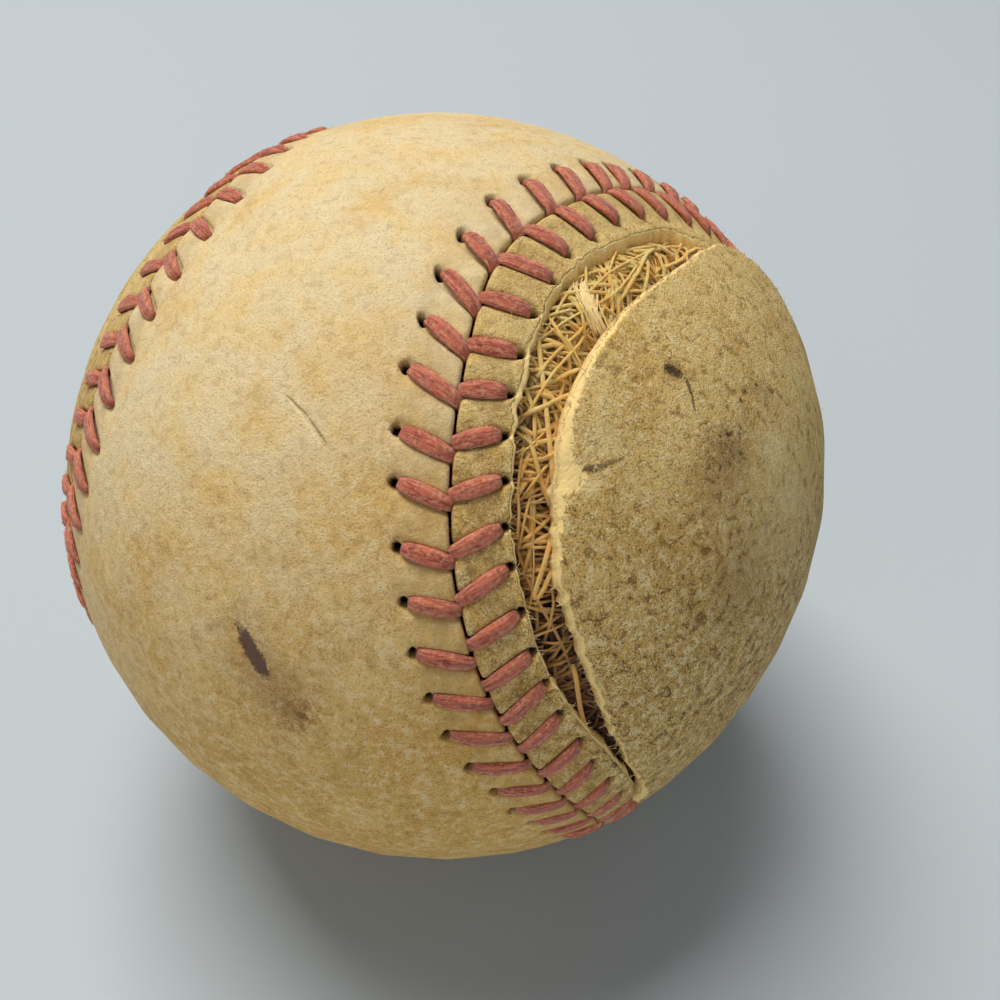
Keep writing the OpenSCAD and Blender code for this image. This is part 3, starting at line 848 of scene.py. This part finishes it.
def make_leather_grain():
    """The grain of old leather at a size set by Fine: dark and pale specks, scuffs and worn pits where a broader
    noise is high or low, curled pale fibres where a slow noise crosses its middle, cracks between bent cells,
    wide golden places and cloudy ones, and the height of all this."""
    masks = ("Dark", "Pale", "Scuff", "Pit", "Fibre", "Crack", "Golden", "Patch", "Height")
    group, takes, gives = shader_group(
        "leather_grain", {"Place": "Vector", "Fine": "Float"}, dict.fromkeys(masks, "Float"))
    place = takes["Place"]
    fine, other = (put(group, "TexNoise", {"Vector": each, "Scale": takes["Fine"], "Detail": 3.0,
                                           "Roughness": 0.6}).outputs[0]
                   for each in (place, vector_calc(group, "ADD", place, (0.3, 0.1, 0.2))))
    blotch = clouds(group, place, 0.85, 6.0, 0.5)
    curls = clouds(group, place, 0.6, 2.5, 0.9)
    fibre = between(group, calc(group, "ABSOLUTE", minus(group, curls, 0.5)), 0.028, 0.006)
    bend = put(group, "TexNoise", {"Vector": place, "Scale": 1 / (0.7 * MM), "Detail": 3.0}).outputs["Color"]
    bent = vector_calc(group, "ADD", place, vector_calc(group, "SCALE", bend, Scale=0.9 * MM))
    cells = put(group, "TexVoronoi", {"Vector": bent, "Scale": 1 / (0.8 * MM)},
                feature="DISTANCE_TO_EDGE").outputs[0]
    crack = times(group, between(group, cells, 0.07, 0.015), between(group, blotch, 0.42, 0.56))
    relief = plus(group, times(group, fine, 0.7), times(group, blotch, 1.1))
    feed(group, gives,
         Dark=between(group, fine, 0.48, 0.34),
         Pale=between(group, other, 0.52, 0.68),
         Scuff=between(group, blotch, 0.5, 0.64),
         Pit=between(group, blotch, 0.46, 0.34),
         Fibre=times(group, fibre, between(group, other, 0.4, 0.55)),
         Crack=crack,
         Golden=between(group, clouds(group, place, 7.0, 6.0, 0.6), 0.46, 0.66),
         Patch=clouds(group, place, 3.4, 5.0, 0.4),
         Height=minus(group, relief, times(group, crack, 0.12)))
    return group


def make_stain():
    """A stain about a place on the ball: a long spot with a ragged edge and specks in it. The surface is first
    drawn in to the ball's own radius, so that a lifted flap carries its stains with it."""
    group, takes, gives = shader_group(
        "stain", {"Place": "Vector", "Middle": "Vector", "Way": "Vector", "Half length": "Float",
                  "Half width": "Float", "Ragged": "Float", "Soft": "Float"}, {"Mask": "Float"})
    place, half_length, half_width = (takes[name] for name in ("Place", "Half length", "Half width"))
    on_ball = vector_calc(group, "SCALE", vector_calc(group, "NORMALIZE", place), Scale=ball_r * MM)
    away = vector_calc(group, "SUBTRACT", on_ball, takes["Middle"])
    along = vector_calc(group, "DOT_PRODUCT", away, takes["Way"])
    aside = minus(group, vector_calc(group, "DOT_PRODUCT", away, away), times(group, along, along))
    share = plus(group, calc(group, "POWER", calc(group, "DIVIDE", along, half_length), 2.0),
                 calc(group, "DIVIDE", aside, times(group, half_width, half_width)))
    rough = minus(group, clouds(group, place, 0.8, 6.0), 0.5)
    specks = times(group, minus(group, clouds(group, place, 0.22), 0.5), 1.2)
    rough = times(group, plus(group, rough, specks), takes["Ragged"])
    outer, inner = plus(group, 1.0, takes["Soft"]), minus(group, 1.0, takes["Soft"])
    feed(group, gives, Mask=between(group, plus(group, calc(group, "SQRT", share), rough), outer, inner))
    return group


leather_grain = make_leather_grain()
stain = make_stain()


def stained(tree, place, base, tint, first, last, half_width, strength, ragged, soft, within=1.0):
    """Tints a colour inside a stain that runs from its first end to its last, both in the object's frame. within
    is a mask that breaks the stain up."""
    first, last = (unit(np.array(end)) * ball_r * MM for end in (first, last))
    half = (last - first) / 2
    half_length = float(np.linalg.norm(half))
    mask = place_group(tree, stain, Place=place, Middle=first + half, Way=half / half_length,
                       Half_length=half_length, Half_width=half_width * MM, Ragged=ragged, Soft=soft)["Mask"]
    return mix(tree, times(tree, times(tree, mask, strength), within), base, tint)


def old_leather(name, pale, mid, deep, wear, grime, raw_pale, raw_deep, stains, broken, shaded_way, relief):
    """Aged leather: cloudy between three tones, painted deeper towards one side of the ball as shade, worn as wear
    lists in shares of the grain's masks, grey with grime near the seam, painted black in the holes as shade, and
    raw where it is cut or torn.
    Broken stains show only inside one of the grain's masks."""
    material, tree, shader = new_material(name, 0.8, Specular_IOR_Level=0.22)
    place = object_place(tree)
    grain = place_group(tree, leather_grain, Place=place, Fine=1 / (grain_w * MM))
    # Painted shade: the tone deepens towards one side of the ball, the lower front, away from the light, and the
    # leather is also glossier and more worn there.
    way, low, high = shaded_way
    lean = vector_calc(tree, "DOT_PRODUCT", place, [x / (ball_r * MM) for x in way])
    broad = clouds(tree, place, 16.0, 4.0, 0.4)
    side_shade = between(tree, plus(tree, lean, times(tree, broad, 0.8)), low, high)
    tone = mix(tree, side_shade, pale, deep)
    tone = mix(tree, times(tree, between(tree, grain["Patch"], 0.36, 0.72), 0.65), tone, mid)
    rim = attribute(tree, "rim")
    dirt = times(tree, rim, between(tree, clouds(tree, place, 1.3, 5.0), 0.3, 0.62))
    tone = mix(tree, times(tree, dirt, 0.35), tone, grime)
    kept = minus(tree, 1.0, times(tree, rim, 0.4))
    for mask, share, tint in wear:
        worn = times(tree, plus(tree, 0.75 * share, times(tree, side_shade, 0.6 * share)), kept)
        tone = mix(tree, times(tree, grain[mask], worn), tone, tint)
    for each in stains:
        tone = stained(tree, place, tone, *each)
    for mask, *each in broken:
        tone = stained(tree, place, tone, *each, within=grain[mask])
    shreds = clouds(tree, place, 0.4, 5.0, 0.5)
    uneven = minus(tree, shreds, 0.5)
    depth = plus(tree, attribute(tree, "deep"), times(tree, uneven, 1.6))
    ragged = between(tree, plus(tree, attribute(tree, "raw"), times(tree, uneven, 0.7)), 0.4, 0.6)
    tone = mix(tree, ragged, tone, mix(tree, between(tree, depth, 0.2, 1.3), raw_pale, raw_deep))
    # The holes are painted black as shade.
    tone = mix(tree, attribute(tree, "hole"), tone, (14, 9, 6))
    height = plus(tree, times(tree, grain["Height"], minus(tree, 1.0, ragged)),
                  times(tree, ragged, times(tree, shreds, 0.6)))
    feed(tree, shader, Base_Color=tone, Normal=bump(tree, height, relief),
         Roughness=minus(tree, 0.86, times(tree, side_shade, 0.14)))
    return material


grain_w = 0.17
brown_smudge = (136, 92, 44)
dark_smudge = (70, 44, 30)
# Each stain: its tint, its two ends in the object's frame, half its width, its strength, and how ragged and soft.
whole_stains = [
    (brown_smudge, (-14.5, -31.0, 13.9), (-9.5, -34.5, 8.0), 2.8, 0.4, 1.8, 0.8),
    (brown_smudge, (-11.6, -33.6, 10.0), (-9.0, -34.9, 7.8), 1.5, 0.5, 2.4, 0.7),
    (dark_smudge, (-9.8, -34.4, 9.1), (-9.2, -34.8, 8.4), 0.5, 0.55, 2.8, 0.6),
    ((78, 50, 54), (-14.2, -30.8, 14.9), (-12.1, -33.1, 11.2), 0.72, 0.85, 0.7, 0.2),
    # A crease drawn as a brown line with a pale line beside it: painted shade and a painted highlight on its two
    # sides.
    ((116, 84, 46), (-10.0, -20.7, 28.9), (-8.4, -22.2, 28.3), 0.1, 0.65, 0.7, 0.4),
    ((116, 84, 46), (-8.4, -22.2, 28.3), (-6.8, -24.1, 27.1), 0.1, 0.65, 0.7, 0.4),
    ((240, 222, 168), (-9.8, -21.0, 28.7), (-8.6, -22.4, 28.1), 0.14, 0.8, 0.7, 0.3),
    ((240, 222, 168), (-8.7, -22.4, 28.1), (-7.1, -24.2, 26.9), 0.14, 0.8, 0.7, 0.3),
]
whole_wear = [("Golden", 0.42, (210, 164, 80)), ("Pit", 0.28, (158, 114, 54)),
              ("Scuff", 0.26, (250, 234, 190)), ("Dark", 0.4, (100, 70, 34)),
              ("Pale", 0.22, (252, 240, 204)), ("Fibre", 0.08, (246, 230, 186))]
# The direction and range before the relief give the side where this leather is painted deeper as shade.
whole_leather = old_leather(
    "whole_leather", (228, 208, 164), (232, 196, 122), (212, 166, 82), whole_wear, (168, 142, 98),
    (232, 206, 152), (150, 108, 60), whole_stains, [], ((0.4, -0.6, -0.72), -0.1, 0.95), 0.12)
whole_side = Stitches(
    1, (-0.2, -0.4), -13,
    [-0.4, -0.42, -0.53, -0.47, -0.73, -0.78, -0.83, -0.87, -0.25, -0.56, 0.19, 0.29, 0.44, 0.03, 0.15, 0.47,
     0.9, 0.8],
    [4.1, 3.88, 4.29, 4.35, 4.19, 4.13, 3.86, 3.87, 4.05, 4.15, 4.18, 3.69, 3.57, 3.5, 4.0, 4.16, 4.3, 4.3],
    [-1.2, -1.5, -1.4, -1.45, -1.4, -1.3, -0.6, -0.75, -0.3, -0.55, -0.3, -0.4, -0.6, -0.1, 0.05, 0.7, 0.8, 0.7])
whole_panel = make_panel("whole_panel", whole_side, PlainLobes(whole_side), whole_leather, "whole_leather")
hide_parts("cover_whole_panel")

# The torn leather panel
# The other figure-of-eight piece. Its lobe on this side has torn along its holes, so that a narrow strip stays
# sewn to the seam, and the rest is a flap with a pale raw lip that stands up to 2 mm off the ball.
strip_places = [(-70, 5.25), (-66, 3.0), (-64.5, 1.5), (-62, 2.6), (-60, 3.7), (-55, 5.0), (-49, 5.6), (-42, 5.2),
                (-32, 4.75), (-25, 4.6), (-19, 4.5), (-13, 4.4), (-8.5, 4.4), (-5, 4.8), (0, 5.15), (4, 4.95),
                (10, 5.2), (14.5, 5.0), (18, 5.0), (21, 5.8), (25, 6.2), (35, 5.8), (48, 5.4), (62, 5.25)]
flap_places = [(-70, 5.25), (-66, 3.0), (-64.5, 1.5), (-63, 3.2), (-61, 4.7), (-54.5, 5.7), (-48, 6.4),
               (-42.5, 7.0), (-37, 7.6), (-32.5, 7.65), (-28.5, 7.55), (-24.5, 7.35), (-22.4, 7.8), (-18, 7.7),
               (-15, 7.7), (-12, 7.95), (-9.3, 8.3), (-6, 9.1), (-1.5, 9.9), (5, 9.9), (9, 9.7), (15, 9.1),
               (19.5, 8.1), (22.7, 7.5), (26, 7.3), (35, 7.1), (48, 6.3), (58, 5.4), (62, 5.25)]
lip_places = [(-70, 0.4), (-65, 1.0), (-61.5, 1.0), (-58, 0.2), (-50, 0.2), (-42, 0.35), (-34, 0.5), (-24, 0.5),
              (-21.5, 0.55), (-20, 0.8), (-18.5, 1.4), (-17.2, 2.3), (-16, 1.6), (-14.5, 1.0), (-12, 0.6),
              (-5, 0.45), (2, 0.35), (9, 0.25), (62, 0.2)]
strip_lip_places = [(-70, 0.02), (-44, 0.04), (-34, 0.12), (-16, 0.18), (-13, 0.4), (-8, 0.4), (-5, 0.2),
                    (62, 0.15)]
bevel_places = [(-60, 0.05), (-20, 0.15), (-5, 0.4), (5, 0.8), (30, 0.8), (50, 0.1)]
flap_lift = 2.0
flap_reach = 40.0
lift_peak = seam_place(37.2, -9.35)
least_gap = 0.03
open_w = 1.5
strip_rough = 0.05
flap_rough = 0.06
tip_calm = (4, 18)
calm_before_ends = (1, 2)
calm_w = 4
wall_rough = 0.06
fray_widths = (2, 3, 5, 12, 27)
line_ends = (-80, 80)
line_step = 0.1
line_mean = 25


class TornLobe:
    """The two edges of the tear, the lift of the flap beside it, and how rough its walls are."""

    def __init__(self, stitches):
        from_tip = self.from_tip(stitches.border_s)
        first, last = tear_span[0] + calm_before_ends[0], tear_span[1] - calm_before_ends[1]
        ends = smooth((from_tip - first) / calm_w) * smooth((last - from_tip) / calm_w)
        strip, strip_frayed = self.torn_line(strip_places, from_tip, strip_rough * ends, 5)
        flap = self.torn_line(flap_places, from_tip, 0, 6)[0]
        closed = flap - strip < least_gap
        self.flap_s = stitches.border_s + (column_s - stitches.border_s) * smooth((flap - strip) / open_w)
        roughness = flap_rough * ends * (0.1 + 0.9 * smooth((np.abs(from_tip) - tip_calm[0]) / tip_calm[1]))
        flap, flap_frayed = self.torn_line(flap_places, self.from_tip(self.flap_s), roughness, 6)
        self.strip_edge = np.where(closed, strip, strip_frayed)
        self.flap_edge = np.where(closed, strip, np.maximum(flap_frayed, self.strip_edge + 0.05))
        torn_share = (from_tip - tear_span[0]) / (tear_span[1] - tear_span[0])
        self.free = np.sqrt(np.sin(math.pi * np.clip(torn_share, 0, 1)))
        wall_noise = np.pad(np.random.default_rng(8).normal(size=columns), 3, mode="wrap")
        self.fray = wall_rough * ends * np.convolve(wall_noise, np.full(7, 0.38), "valid")
        self.lip_w, self.strip_lip_w, self.bevel = (
            at_places(from_tip, places) for places in (lip_places, strip_lip_places, bevel_places))
        self.bevel = self.bevel * smooth((flap - strip) / open_w)

    def from_tip(self, s):
        """Places along the seam as distances before and behind the panel's tip."""
        return np.mod(s + seam_length / 2, seam_length) - seam_length / 2

    def torn_line(self, places, from_tip, roughness, seed):
        """A torn edge through a few measured places, rounded between them, and the same line frayed by noise of
        several widths."""
        fine = np.arange(*line_ends, line_step)
        soft = np.pad(at_places(fine, places), line_mean // 2, mode="edge")
        line = np.interp(from_tip, fine, np.convolve(soft, np.full(line_mean, 1 / line_mean), "valid"))
        own = np.random.default_rng(seed)
        fray = sum(own.normal(0, 1, columns // step + 1).repeat(step)[:columns] for step in fray_widths)
        fray = np.convolve(np.pad(fray, 1, mode="wrap"), (0.25, 0.5, 0.25), "valid")
        return line, line + fray * roughness

    def lift(self, direction, free):
        """Height of the flap off the ball: greatest at one place, and dying away smoothly over its reach."""
        return flap_lift * fades(over_ball(direction @ lift_peak), 0, flap_reach) * free


black_smudge = (46, 38, 28)
flap_stains = [
    (brown_smudge, (18.1, -17.0, 29.1), (20.1, -16.6, 27.8), 0.8, 0.45, 1.6, 0.6),
    (black_smudge, (18.3, -17.0, 29.0), (20.0, -16.8, 27.8), 0.36, 0.85, 1.5, 0.4),
    (dark_smudge, (20.2, -16.9, 27.6), (20.6, -17.8, 26.8), 0.18, 0.75, 1.2, 0.4),
    (dark_smudge, (20.6, -17.7, 26.8), (20.9, -18.8, 25.9), 0.13, 0.7, 1.2, 0.4),
    (brown_smudge, (21.5, -19.0, 22.9), (23.6, -21.0, 18.9), 3.4, 0.5, 2.0, 0.7),
    (dark_smudge, (22.4, -18.2, 22.9), (23.4, -19.4, 20.8), 1.3, 0.3, 3.0, 0.8),
    (dark_smudge, (24.4, -14.8, 23.4), (24.2, -17.0, 22.3), 0.6, 0.25, 2.8, 0.7),
    (dark_smudge, (24.6, -13.7, 23.8), (27.3, -12.5, 21.6), 0.7, 0.25, 2.8, 0.7),
    ((228, 208, 152), (12.3, -23.6, 27.2), (15.2, -22.8, 26.6), 1.3, 0.55, 2.4, 0.7),
    ((244, 220, 158), (12.2, -25.8, 25.1), (13.2, -26.3, 24.2), 0.75, 0.75, 1.8, 0.5),
    (dark_smudge, (12.0, -25.4, 25.7), (13.1, -25.0, 25.7), 0.34, 0.7, 1.9, 0.5),
    (dark_smudge, (12.7, -25.2, 25.7), (14.8, -24.0, 25.6), 0.24, 0.6, 2.0, 0.5),
    (brown_smudge, (22.0, -26.0, 14.4), (27.0, -22.0, 11.5), 4.0, 0.4, 2.0, 0.8),
    ((240, 218, 160), (28.6, -14.0, 18.4), (26.0, -22.5, 12.5), 6.0, 0.3, 2.6, 0.9),
    ((242, 224, 174), (27.2, -15.4, 20.6), (28.2, -16.4, 18.6), 1.6, 0.35, 2.8, 0.8),
    ((242, 224, 174), (29.4, -16.4, 16.2), (30.0, -16.8, 14.0), 1.4, 0.35, 2.8, 0.8),
]
flap_broken = [
    ("Crack", dark_smudge, (11.8, -24.0, 27.2), (16.4, -21.6, 26.8), 2.6, 0.45, 1.6, 0.5),
    ("Pit", dark_smudge, (22.0, -17.6, 23.6), (23.2, -20.4, 20.4), 2.4, 0.75, 1.8, 0.6),
    ("Dark", dark_smudge, (22.0, -17.6, 23.6), (23.0, -20.4, 20.6), 1.8, 0.6, 1.8, 0.6),
    ("Pit", dark_smudge, (24.6, -14.0, 23.6), (24.0, -17.6, 22.3), 1.3, 0.7, 1.8, 0.6),
    ("Pit", dark_smudge, (24.6, -13.7, 23.8), (27.3, -12.5, 21.6), 1.3, 0.65, 1.8, 0.6),
    ("Dark", dark_smudge, (17.4, -16.0, 29.8), (19.4, -14.6, 29.2), 1.3, 0.6, 1.8, 0.6),
    ("Pit", brown_smudge, (20.0, -24.0, 19.0), (24.0, -25.0, 12.0), 5.0, 0.6, 1.8, 0.8),
]
flap_wear = [("Golden", 0.5, (184, 138, 54)), ("Pit", 0.7, (122, 86, 38)),
             ("Scuff", 0.66, (242, 218, 158)), ("Dark", 0.75, (78, 54, 24)),
             ("Pale", 0.42, (252, 230, 168)), ("Fibre", 0.75, (250, 232, 184)),
             ("Crack", 0.05, (90, 66, 36))]
# The direction and range before the relief give the side where this leather is painted deeper as shade.
torn_leather = old_leather(
    "torn_leather", (230, 198, 126), (216, 174, 93), (206, 162, 80), flap_wear, (150, 128, 88),
    (250, 219, 148), (226, 182, 112), flap_stains, flap_broken, ((-0.1, -0.6, -0.8), -0.15, 0.85), 0.2)
torn_side = Stitches(
    -1, (0.25, 0.45), -15,
    [0.0, 0.11, 0.47, 0.11, 0.52, 0.47, 0.08, 0.23, 0.63, 0.21, 0.24, 0.1, -0.38, -0.85, -0.65, 0.32, 0.48, 0.36,
     0.57, 0.66, 0.38, 0.9, 0.8, 0.6],
    [3.7, 3.91, 3.99, 4.37, 4.18, 4.4, 4.36, 4.4, 4.2, 3.98, 3.94, 3.62, 3.64, 3.89, 4.14, 4.5, 3.82, 3.86, 3.5,
     3.6, 3.85, 3.95, 3.9, 4.0],
    [0.4, 0.5, 0.5, 0.5, 0.6, 0.35, 0.3, 0.25, 0.1, 0.0, 0.4, 0.45, 0.65, 0.45, 0.7, 0.85, 1.0, 1.3, 1.1, 0.9, 0.9,
     0.9, 0.8, 0.6])
torn_lobe = TornLobe(torn_side)
torn_panel = make_panel("torn_panel", torn_side, torn_lobe, torn_leather, "torn_leather")
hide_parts("cover_torn_panel")

# The stitches
# Two flat waxed threads, once bright red and now dusty, run from hole to hole. Each leg comes out of its hole,
# lies over the leather's edge and dives into the slit, where it meets the other side's leg in a V.
thread_w = 1.4
thread_t = 0.7
thread_high = 0.28
thread_deep = 0.85
leg_rings = 8
leg_sides = 8
end_past_middle = 0.1
end_before_hole = 0.32
arc_squareness = 0.38
arc_evenness = 0.75
leg_swell = 0.05
slit_narrow = (0.74, 0.4)
hole_narrow = (0.66, 0.25)
thread_squareness = 0.8
shade_from = 0.1
shade_over = 0.5
groove_depth = 0.26
groove_w = 0.25
fuzz_per_leg = 7
fuzz_length = (0.15, 0.4)
fuzz_w = 0.05
fuzz_spread = 0.7
fuzz_rise = 0.3
hair_rings = 5
hair_sides = 3
hair_bend = 0.45
hair_taper = 0.7


def leg_lines(stitches):
    """The middle lines of one side's legs: each goes straight over the ball from the slit to its hole, while its
    height follows half of a flat oval."""
    middle = first_hole + np.arange(pitch_count) * pitch
    side = stitches.side
    inner = seam_place(middle - vee_length + stitches.end_s, -side * np.full(pitch_count, end_past_middle))
    outer = seam_place(middle + stitches.hole_s, side * (stitches.hole_out - end_before_hole))
    turn = np.linspace(-math.pi / 2, math.pi / 2, leg_rings)
    shares = 0.5 + 0.5 * np.sign(turn) * np.abs(np.sin(turn)) ** arc_evenness
    rise = -thread_deep + (thread_deep + thread_high) * np.maximum(np.cos(turn), 0) ** arc_squareness
    line = between_places(inner, outer, shares)
    swell = 1 + dice.normal(0, leg_swell, pitch_count)[:, None]
    return unit(line) * (ball_r + rise * swell)[..., None], shares


def leg_profile(shares):
    """A flat thread of two plies side by side: an oval with a groove along its top and its bottom. It narrows
    where it goes down into the slit."""
    angle = 2 * math.pi * (np.arange(leg_sides) - leg_sides / 4) / leg_sides
    groove = 1 - groove_depth * np.exp(-((np.cos(angle) / groove_w) ** 2))
    by_slit, by_hole = (least + (1 - least) * smooth(away / over) for away, (least, over) in
                        ((shares, slit_narrow), (1 - shares, hole_narrow)))
    narrow = by_slit * by_hole
    wide = thread_w / 2 * np.sign(np.cos(angle)) * np.abs(np.cos(angle)) ** thread_squareness
    high = thread_t / 2 * np.sin(angle) * groove
    return (wide * narrow[:, None])[None], (high * narrow[:, None] ** 0.5)[None]


def make_thread_material():
    """Waxed thread: fibres run along each leg and crests are dusty and worn pink. The groove along its top is
    painted a deeper red as shade, and each leg is painted near black as shade where it goes down into the slit and
    into its hole.
    """
    material, tree, shader = new_material("red_thread", 0.82, Specular_IOR_Level=0.2, Sheen_Weight=0.25)
    run = put(tree, "CombineXYZ", {0: times(tree, attribute(tree, "along"), 0.8),
                                   1: times(tree, attribute(tree, "around"), 5.0),
                                   2: times(tree, attribute(tree, "tone"), 9.0)}).outputs[0]
    fibres = put(tree, "TexNoise", {"Vector": run, "Scale": 4.0, "Detail": 5.0, "Roughness": 0.7,
                                    "Distortion": 0.5}).outputs[0]
    dust = between(tree, clouds(tree, object_place(tree), 0.3, 5.0), 0.46, 0.66)
    base = mix(tree, between(tree, fibres, 0.34, 0.58), (150, 54, 40), (246, 134, 100))
    for mask, share, tint in ((attribute(tree, "tone"), 0.35, (232, 138, 110)), (dust, 0.6, (250, 190, 150)),
                              (attribute(tree, "groove"), 0.4, (104, 30, 22)),
                              (attribute(tree, "deep"), 0.85, (60, 16, 12))):
        base = mix(tree, times(tree, mask, share), base, tint)
    feed(tree, shader, Base_Color=base, Normal=bump(tree, fibres, 0.3))
    return material


def hairs(roots, ways, lengths, width):
    """Fine fibres: each leaves its root along its way, bends aside with the square of its run, and tapers."""
    share = np.linspace(0, 1, hair_rings)[None, :, None]
    beside = unit(np.cross(ways, dice.normal(size=ways.shape)))
    bend = dice.normal(0, hair_bend, (len(roots), 1, 1))
    line = roots[:, None] + lengths[:, None, None] * (ways[:, None] * share + beside[:, None] * bend * share ** 2)
    profile_w, profile_h = round_profile(width, width, hair_sides)
    taper = 1 - hair_taper * share
    return swept(line, np.cross(beside, ways)[:, None] + 0 * line, profile_w * taper, profile_h * taper)


red_thread = make_thread_material()
for name, stitches in (("whole", whole_side), ("torn", torn_side)):
    line, shares = leg_lines(stitches)
    points, faces = swept(line, unit(line), *leg_profile(shares))
    side_number = np.arange(leg_sides)
    # groove marks the groove along each leg's top, and deep how far the leg has gone down below the leather; the
    # thread's material paints both darker, as shade.
    marks = {
        "along": shares[None, :, None],
        "around": side_number[None, None] / leg_sides,
        "groove": (side_number == leg_sides // 2)[None, None],
        "tone": dice.random(pitch_count)[:, None, None],
        "deep": np.clip((ball_r - shade_from - np.linalg.norm(points, axis=-1)) / shade_over, 0, 1),
    }
    marks = {mark: np.broadcast_to(value, points.shape[:3]) for mark, value in marks.items()}
    legs = add_piece("stitches_on_" + name + "_side", points, faces, red_thread, "red_thread", marks)
    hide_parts("stitches_" + name + "_side")
    leg = np.repeat(np.arange(pitch_count), fuzz_per_leg)
    ring = dice.integers(2, leg_rings - 2, len(leg))
    ply = dice.integers(2, leg_sides - 1, len(leg))
    roots = points[leg, ring, ply]
    ways = unit(unit(roots - line[leg, ring]) + dice.normal(0, fuzz_spread, roots.shape) + fuzz_rise * unit(roots))
    points, faces = hairs(roots, ways, dice.uniform(*fuzz_length, len(leg)), fuzz_w)
    add_piece("thread_fuzz_on_" + name + "_side", points, faces, red_thread, "red_thread")

# Fibres of the torn leather
# Where leather tears, its fibres pull out. They stand along both edges of the tear and as fuzz on the flap, whose
# finish has worn off.
edge_fibres = 520
edge_fibre_length = (0.25, 0.9)
edge_fibre_spread = (0.8, 0.4)
least_open = 0.6
on_flap_share = 0.6
flap_root, strip_root = 0.12, 0.08
root_depth = 0.12
strip_root_deeper = 0.1
flap_fuzz = 260
flap_fuzz_length = (0.2, 0.6)
flap_fuzz_reach = 34
flap_fuzz_lean = (0.9, 0.7)
flap_fuzz_sink = 0.03
facing_out = 0.8
skin_depth = 0.3
fibre_w = 0.07
leather_fibre, tree, shader = new_material("leather_fibre", 0.85, Specular_IOR_Level=0.2, Sheen_Weight=0.3)
fibre_tone = clouds(tree, object_place(tree), 0.7, 2.0)
feed(tree, shader, Base_Color=mix(tree, fibre_tone, (206, 166, 100), (248, 228, 172)))


def edge_hairs():
    """Roots on the strip's and the flap's torn edges, each hair leaning out over the gap."""
    column = dice.choice(np.flatnonzero(torn_lobe.flap_edge > torn_lobe.strip_edge + least_open), edge_fibres)
    on_flap = dice.random(edge_fibres) < on_flap_share
    d = np.where(on_flap, torn_lobe.flap_edge[column] + flap_root, torn_lobe.strip_edge[column] - strip_root)
    s = torn_side.border_s[column]
    direction = seam_place(s, -d)
    lift = torn_lobe.lift(direction, torn_lobe.free[column])
    r = ball_r - root_depth + np.where(on_flap, lift, -strip_root_deeper)
    into_gap = unit(seam_place(s, -d + np.where(on_flap, probe_step, -probe_step)) - direction)
    along = np.cross(direction, into_gap)
    aside, upwards = (dice.normal(0, spread, (edge_fibres, 1)) for spread in edge_fibre_spread)
    ways = unit(into_gap + along * aside + direction * upwards)
    return direction * r[:, None], ways, dice.uniform(*edge_fibre_length, edge_fibres)


def flap_hairs():
    """Roots on the flap's own surface, each hair lying almost flat and curling up off it."""
    mesh = torn_panel.data
    places, normals = (np.empty(3 * len(mesh.vertices), np.float32) for _ in range(2))
    mesh.vertices.foreach_get("co", places)
    mesh.vertices.foreach_get("normal", normals)
    places, normals = places.reshape(-1, 3) @ lie / MM, normals.reshape(-1, 3) @ lie
    on_flap = (normals * unit(places)).sum(-1) > facing_out
    on_flap &= unit(places) @ lift_peak > math.cos(flap_fuzz_reach / ball_r)
    on_flap &= np.linalg.norm(places, axis=-1) > ball_r - skin_depth
    chosen = dice.choice(np.flatnonzero(on_flap), flap_fuzz)
    roots, outwards = places[chosen], normals[chosen]
    ways = unit(unit(dice.normal(size=roots.shape)) * flap_fuzz_lean[0] + outwards * flap_fuzz_lean[1])
    return roots - flap_fuzz_sink * outwards, ways, dice.uniform(*flap_fuzz_length, flap_fuzz)


for name, (roots, ways, lengths) in (("fibres_of_torn_edge", edge_hairs()), ("fuzz_of_flap", flap_hairs())):
    add_piece(name, *hairs(roots, ways, lengths, fibre_w), leather_fibre, "torn_leather")

# The table and the light
# The ball lies on a plain pale table. One soft light stands above it and a little behind, and a wider and weaker
# one fills in from the front left.
table_w = 3.0
half = table_w / 2
corners = [(x * half, y * half, -ball_r * MM) for x, y in ((-1, -1), (1, -1), (1, 1), (-1, 1))]
mesh = bpy.data.meshes.new("table")
mesh.from_pydata(corners, [], [(0, 1, 2, 3)])
table_top = bpy.data.objects.new("table", mesh)
bpy.context.scene.collection.objects.link(table_top)
table_finish, tree, shader = new_material("pale_table", 0.6, Specular_IOR_Level=0.2)
shader["Base Color"].default_value = colour(186, 195, 201)
mesh.materials.append(table_finish)
lamp_tint = (1.0, 0.97, 0.93)


def add_light(name, place, size, power):
    """A square lamp that faces the ball."""
    lamp = bpy.data.lights.new(name, "AREA")
    lamp.size, lamp.energy, lamp.color = size, power, lamp_tint
    made = bpy.data.objects.new(name, lamp)
    made.location = place
    made.rotation_euler = (-made.location).to_track_quat("-Z", "Y").to_euler()
    bpy.context.scene.collection.objects.link(made)


add_light("key_light", (-0.2, 0.31, 1.0), 0.62, 12.2)
add_light("fill_light", (-0.25, -0.92, 0.38), 1.2, 3.7)

world = bpy.data.worlds.new("room")
bpy.context.scene.world = world
world.use_nodes = True
room = world.node_tree.nodes["Background"].inputs
room["Color"].default_value = (0.8, 0.88, 0.95, 1.0)
room["Strength"].default_value = 0.15

# The camera
# It looks along +Y and down at the ball from where the reference view was taken. Its place and its lens were fitted
# to the ball's outline.
camera_place = (0.15261 * ball_r, -2.33693 * ball_r, 2.21844 * ball_r)
camera_tilt = 45.82
camera = bpy.data.cameras.new("camera")
camera.lens = 41.16
camera.clip_start = 0.01
viewer = bpy.data.objects.new("camera", camera)
viewer.location = [x * MM for x in camera_place]
viewer.rotation_euler = (math.radians(camera_tilt), 0, 0)
bpy.context.scene.collection.objects.link(viewer)
bpy.context.scene.camera = viewer
bpy.context.scene.view_settings.view_transform = "Standard"
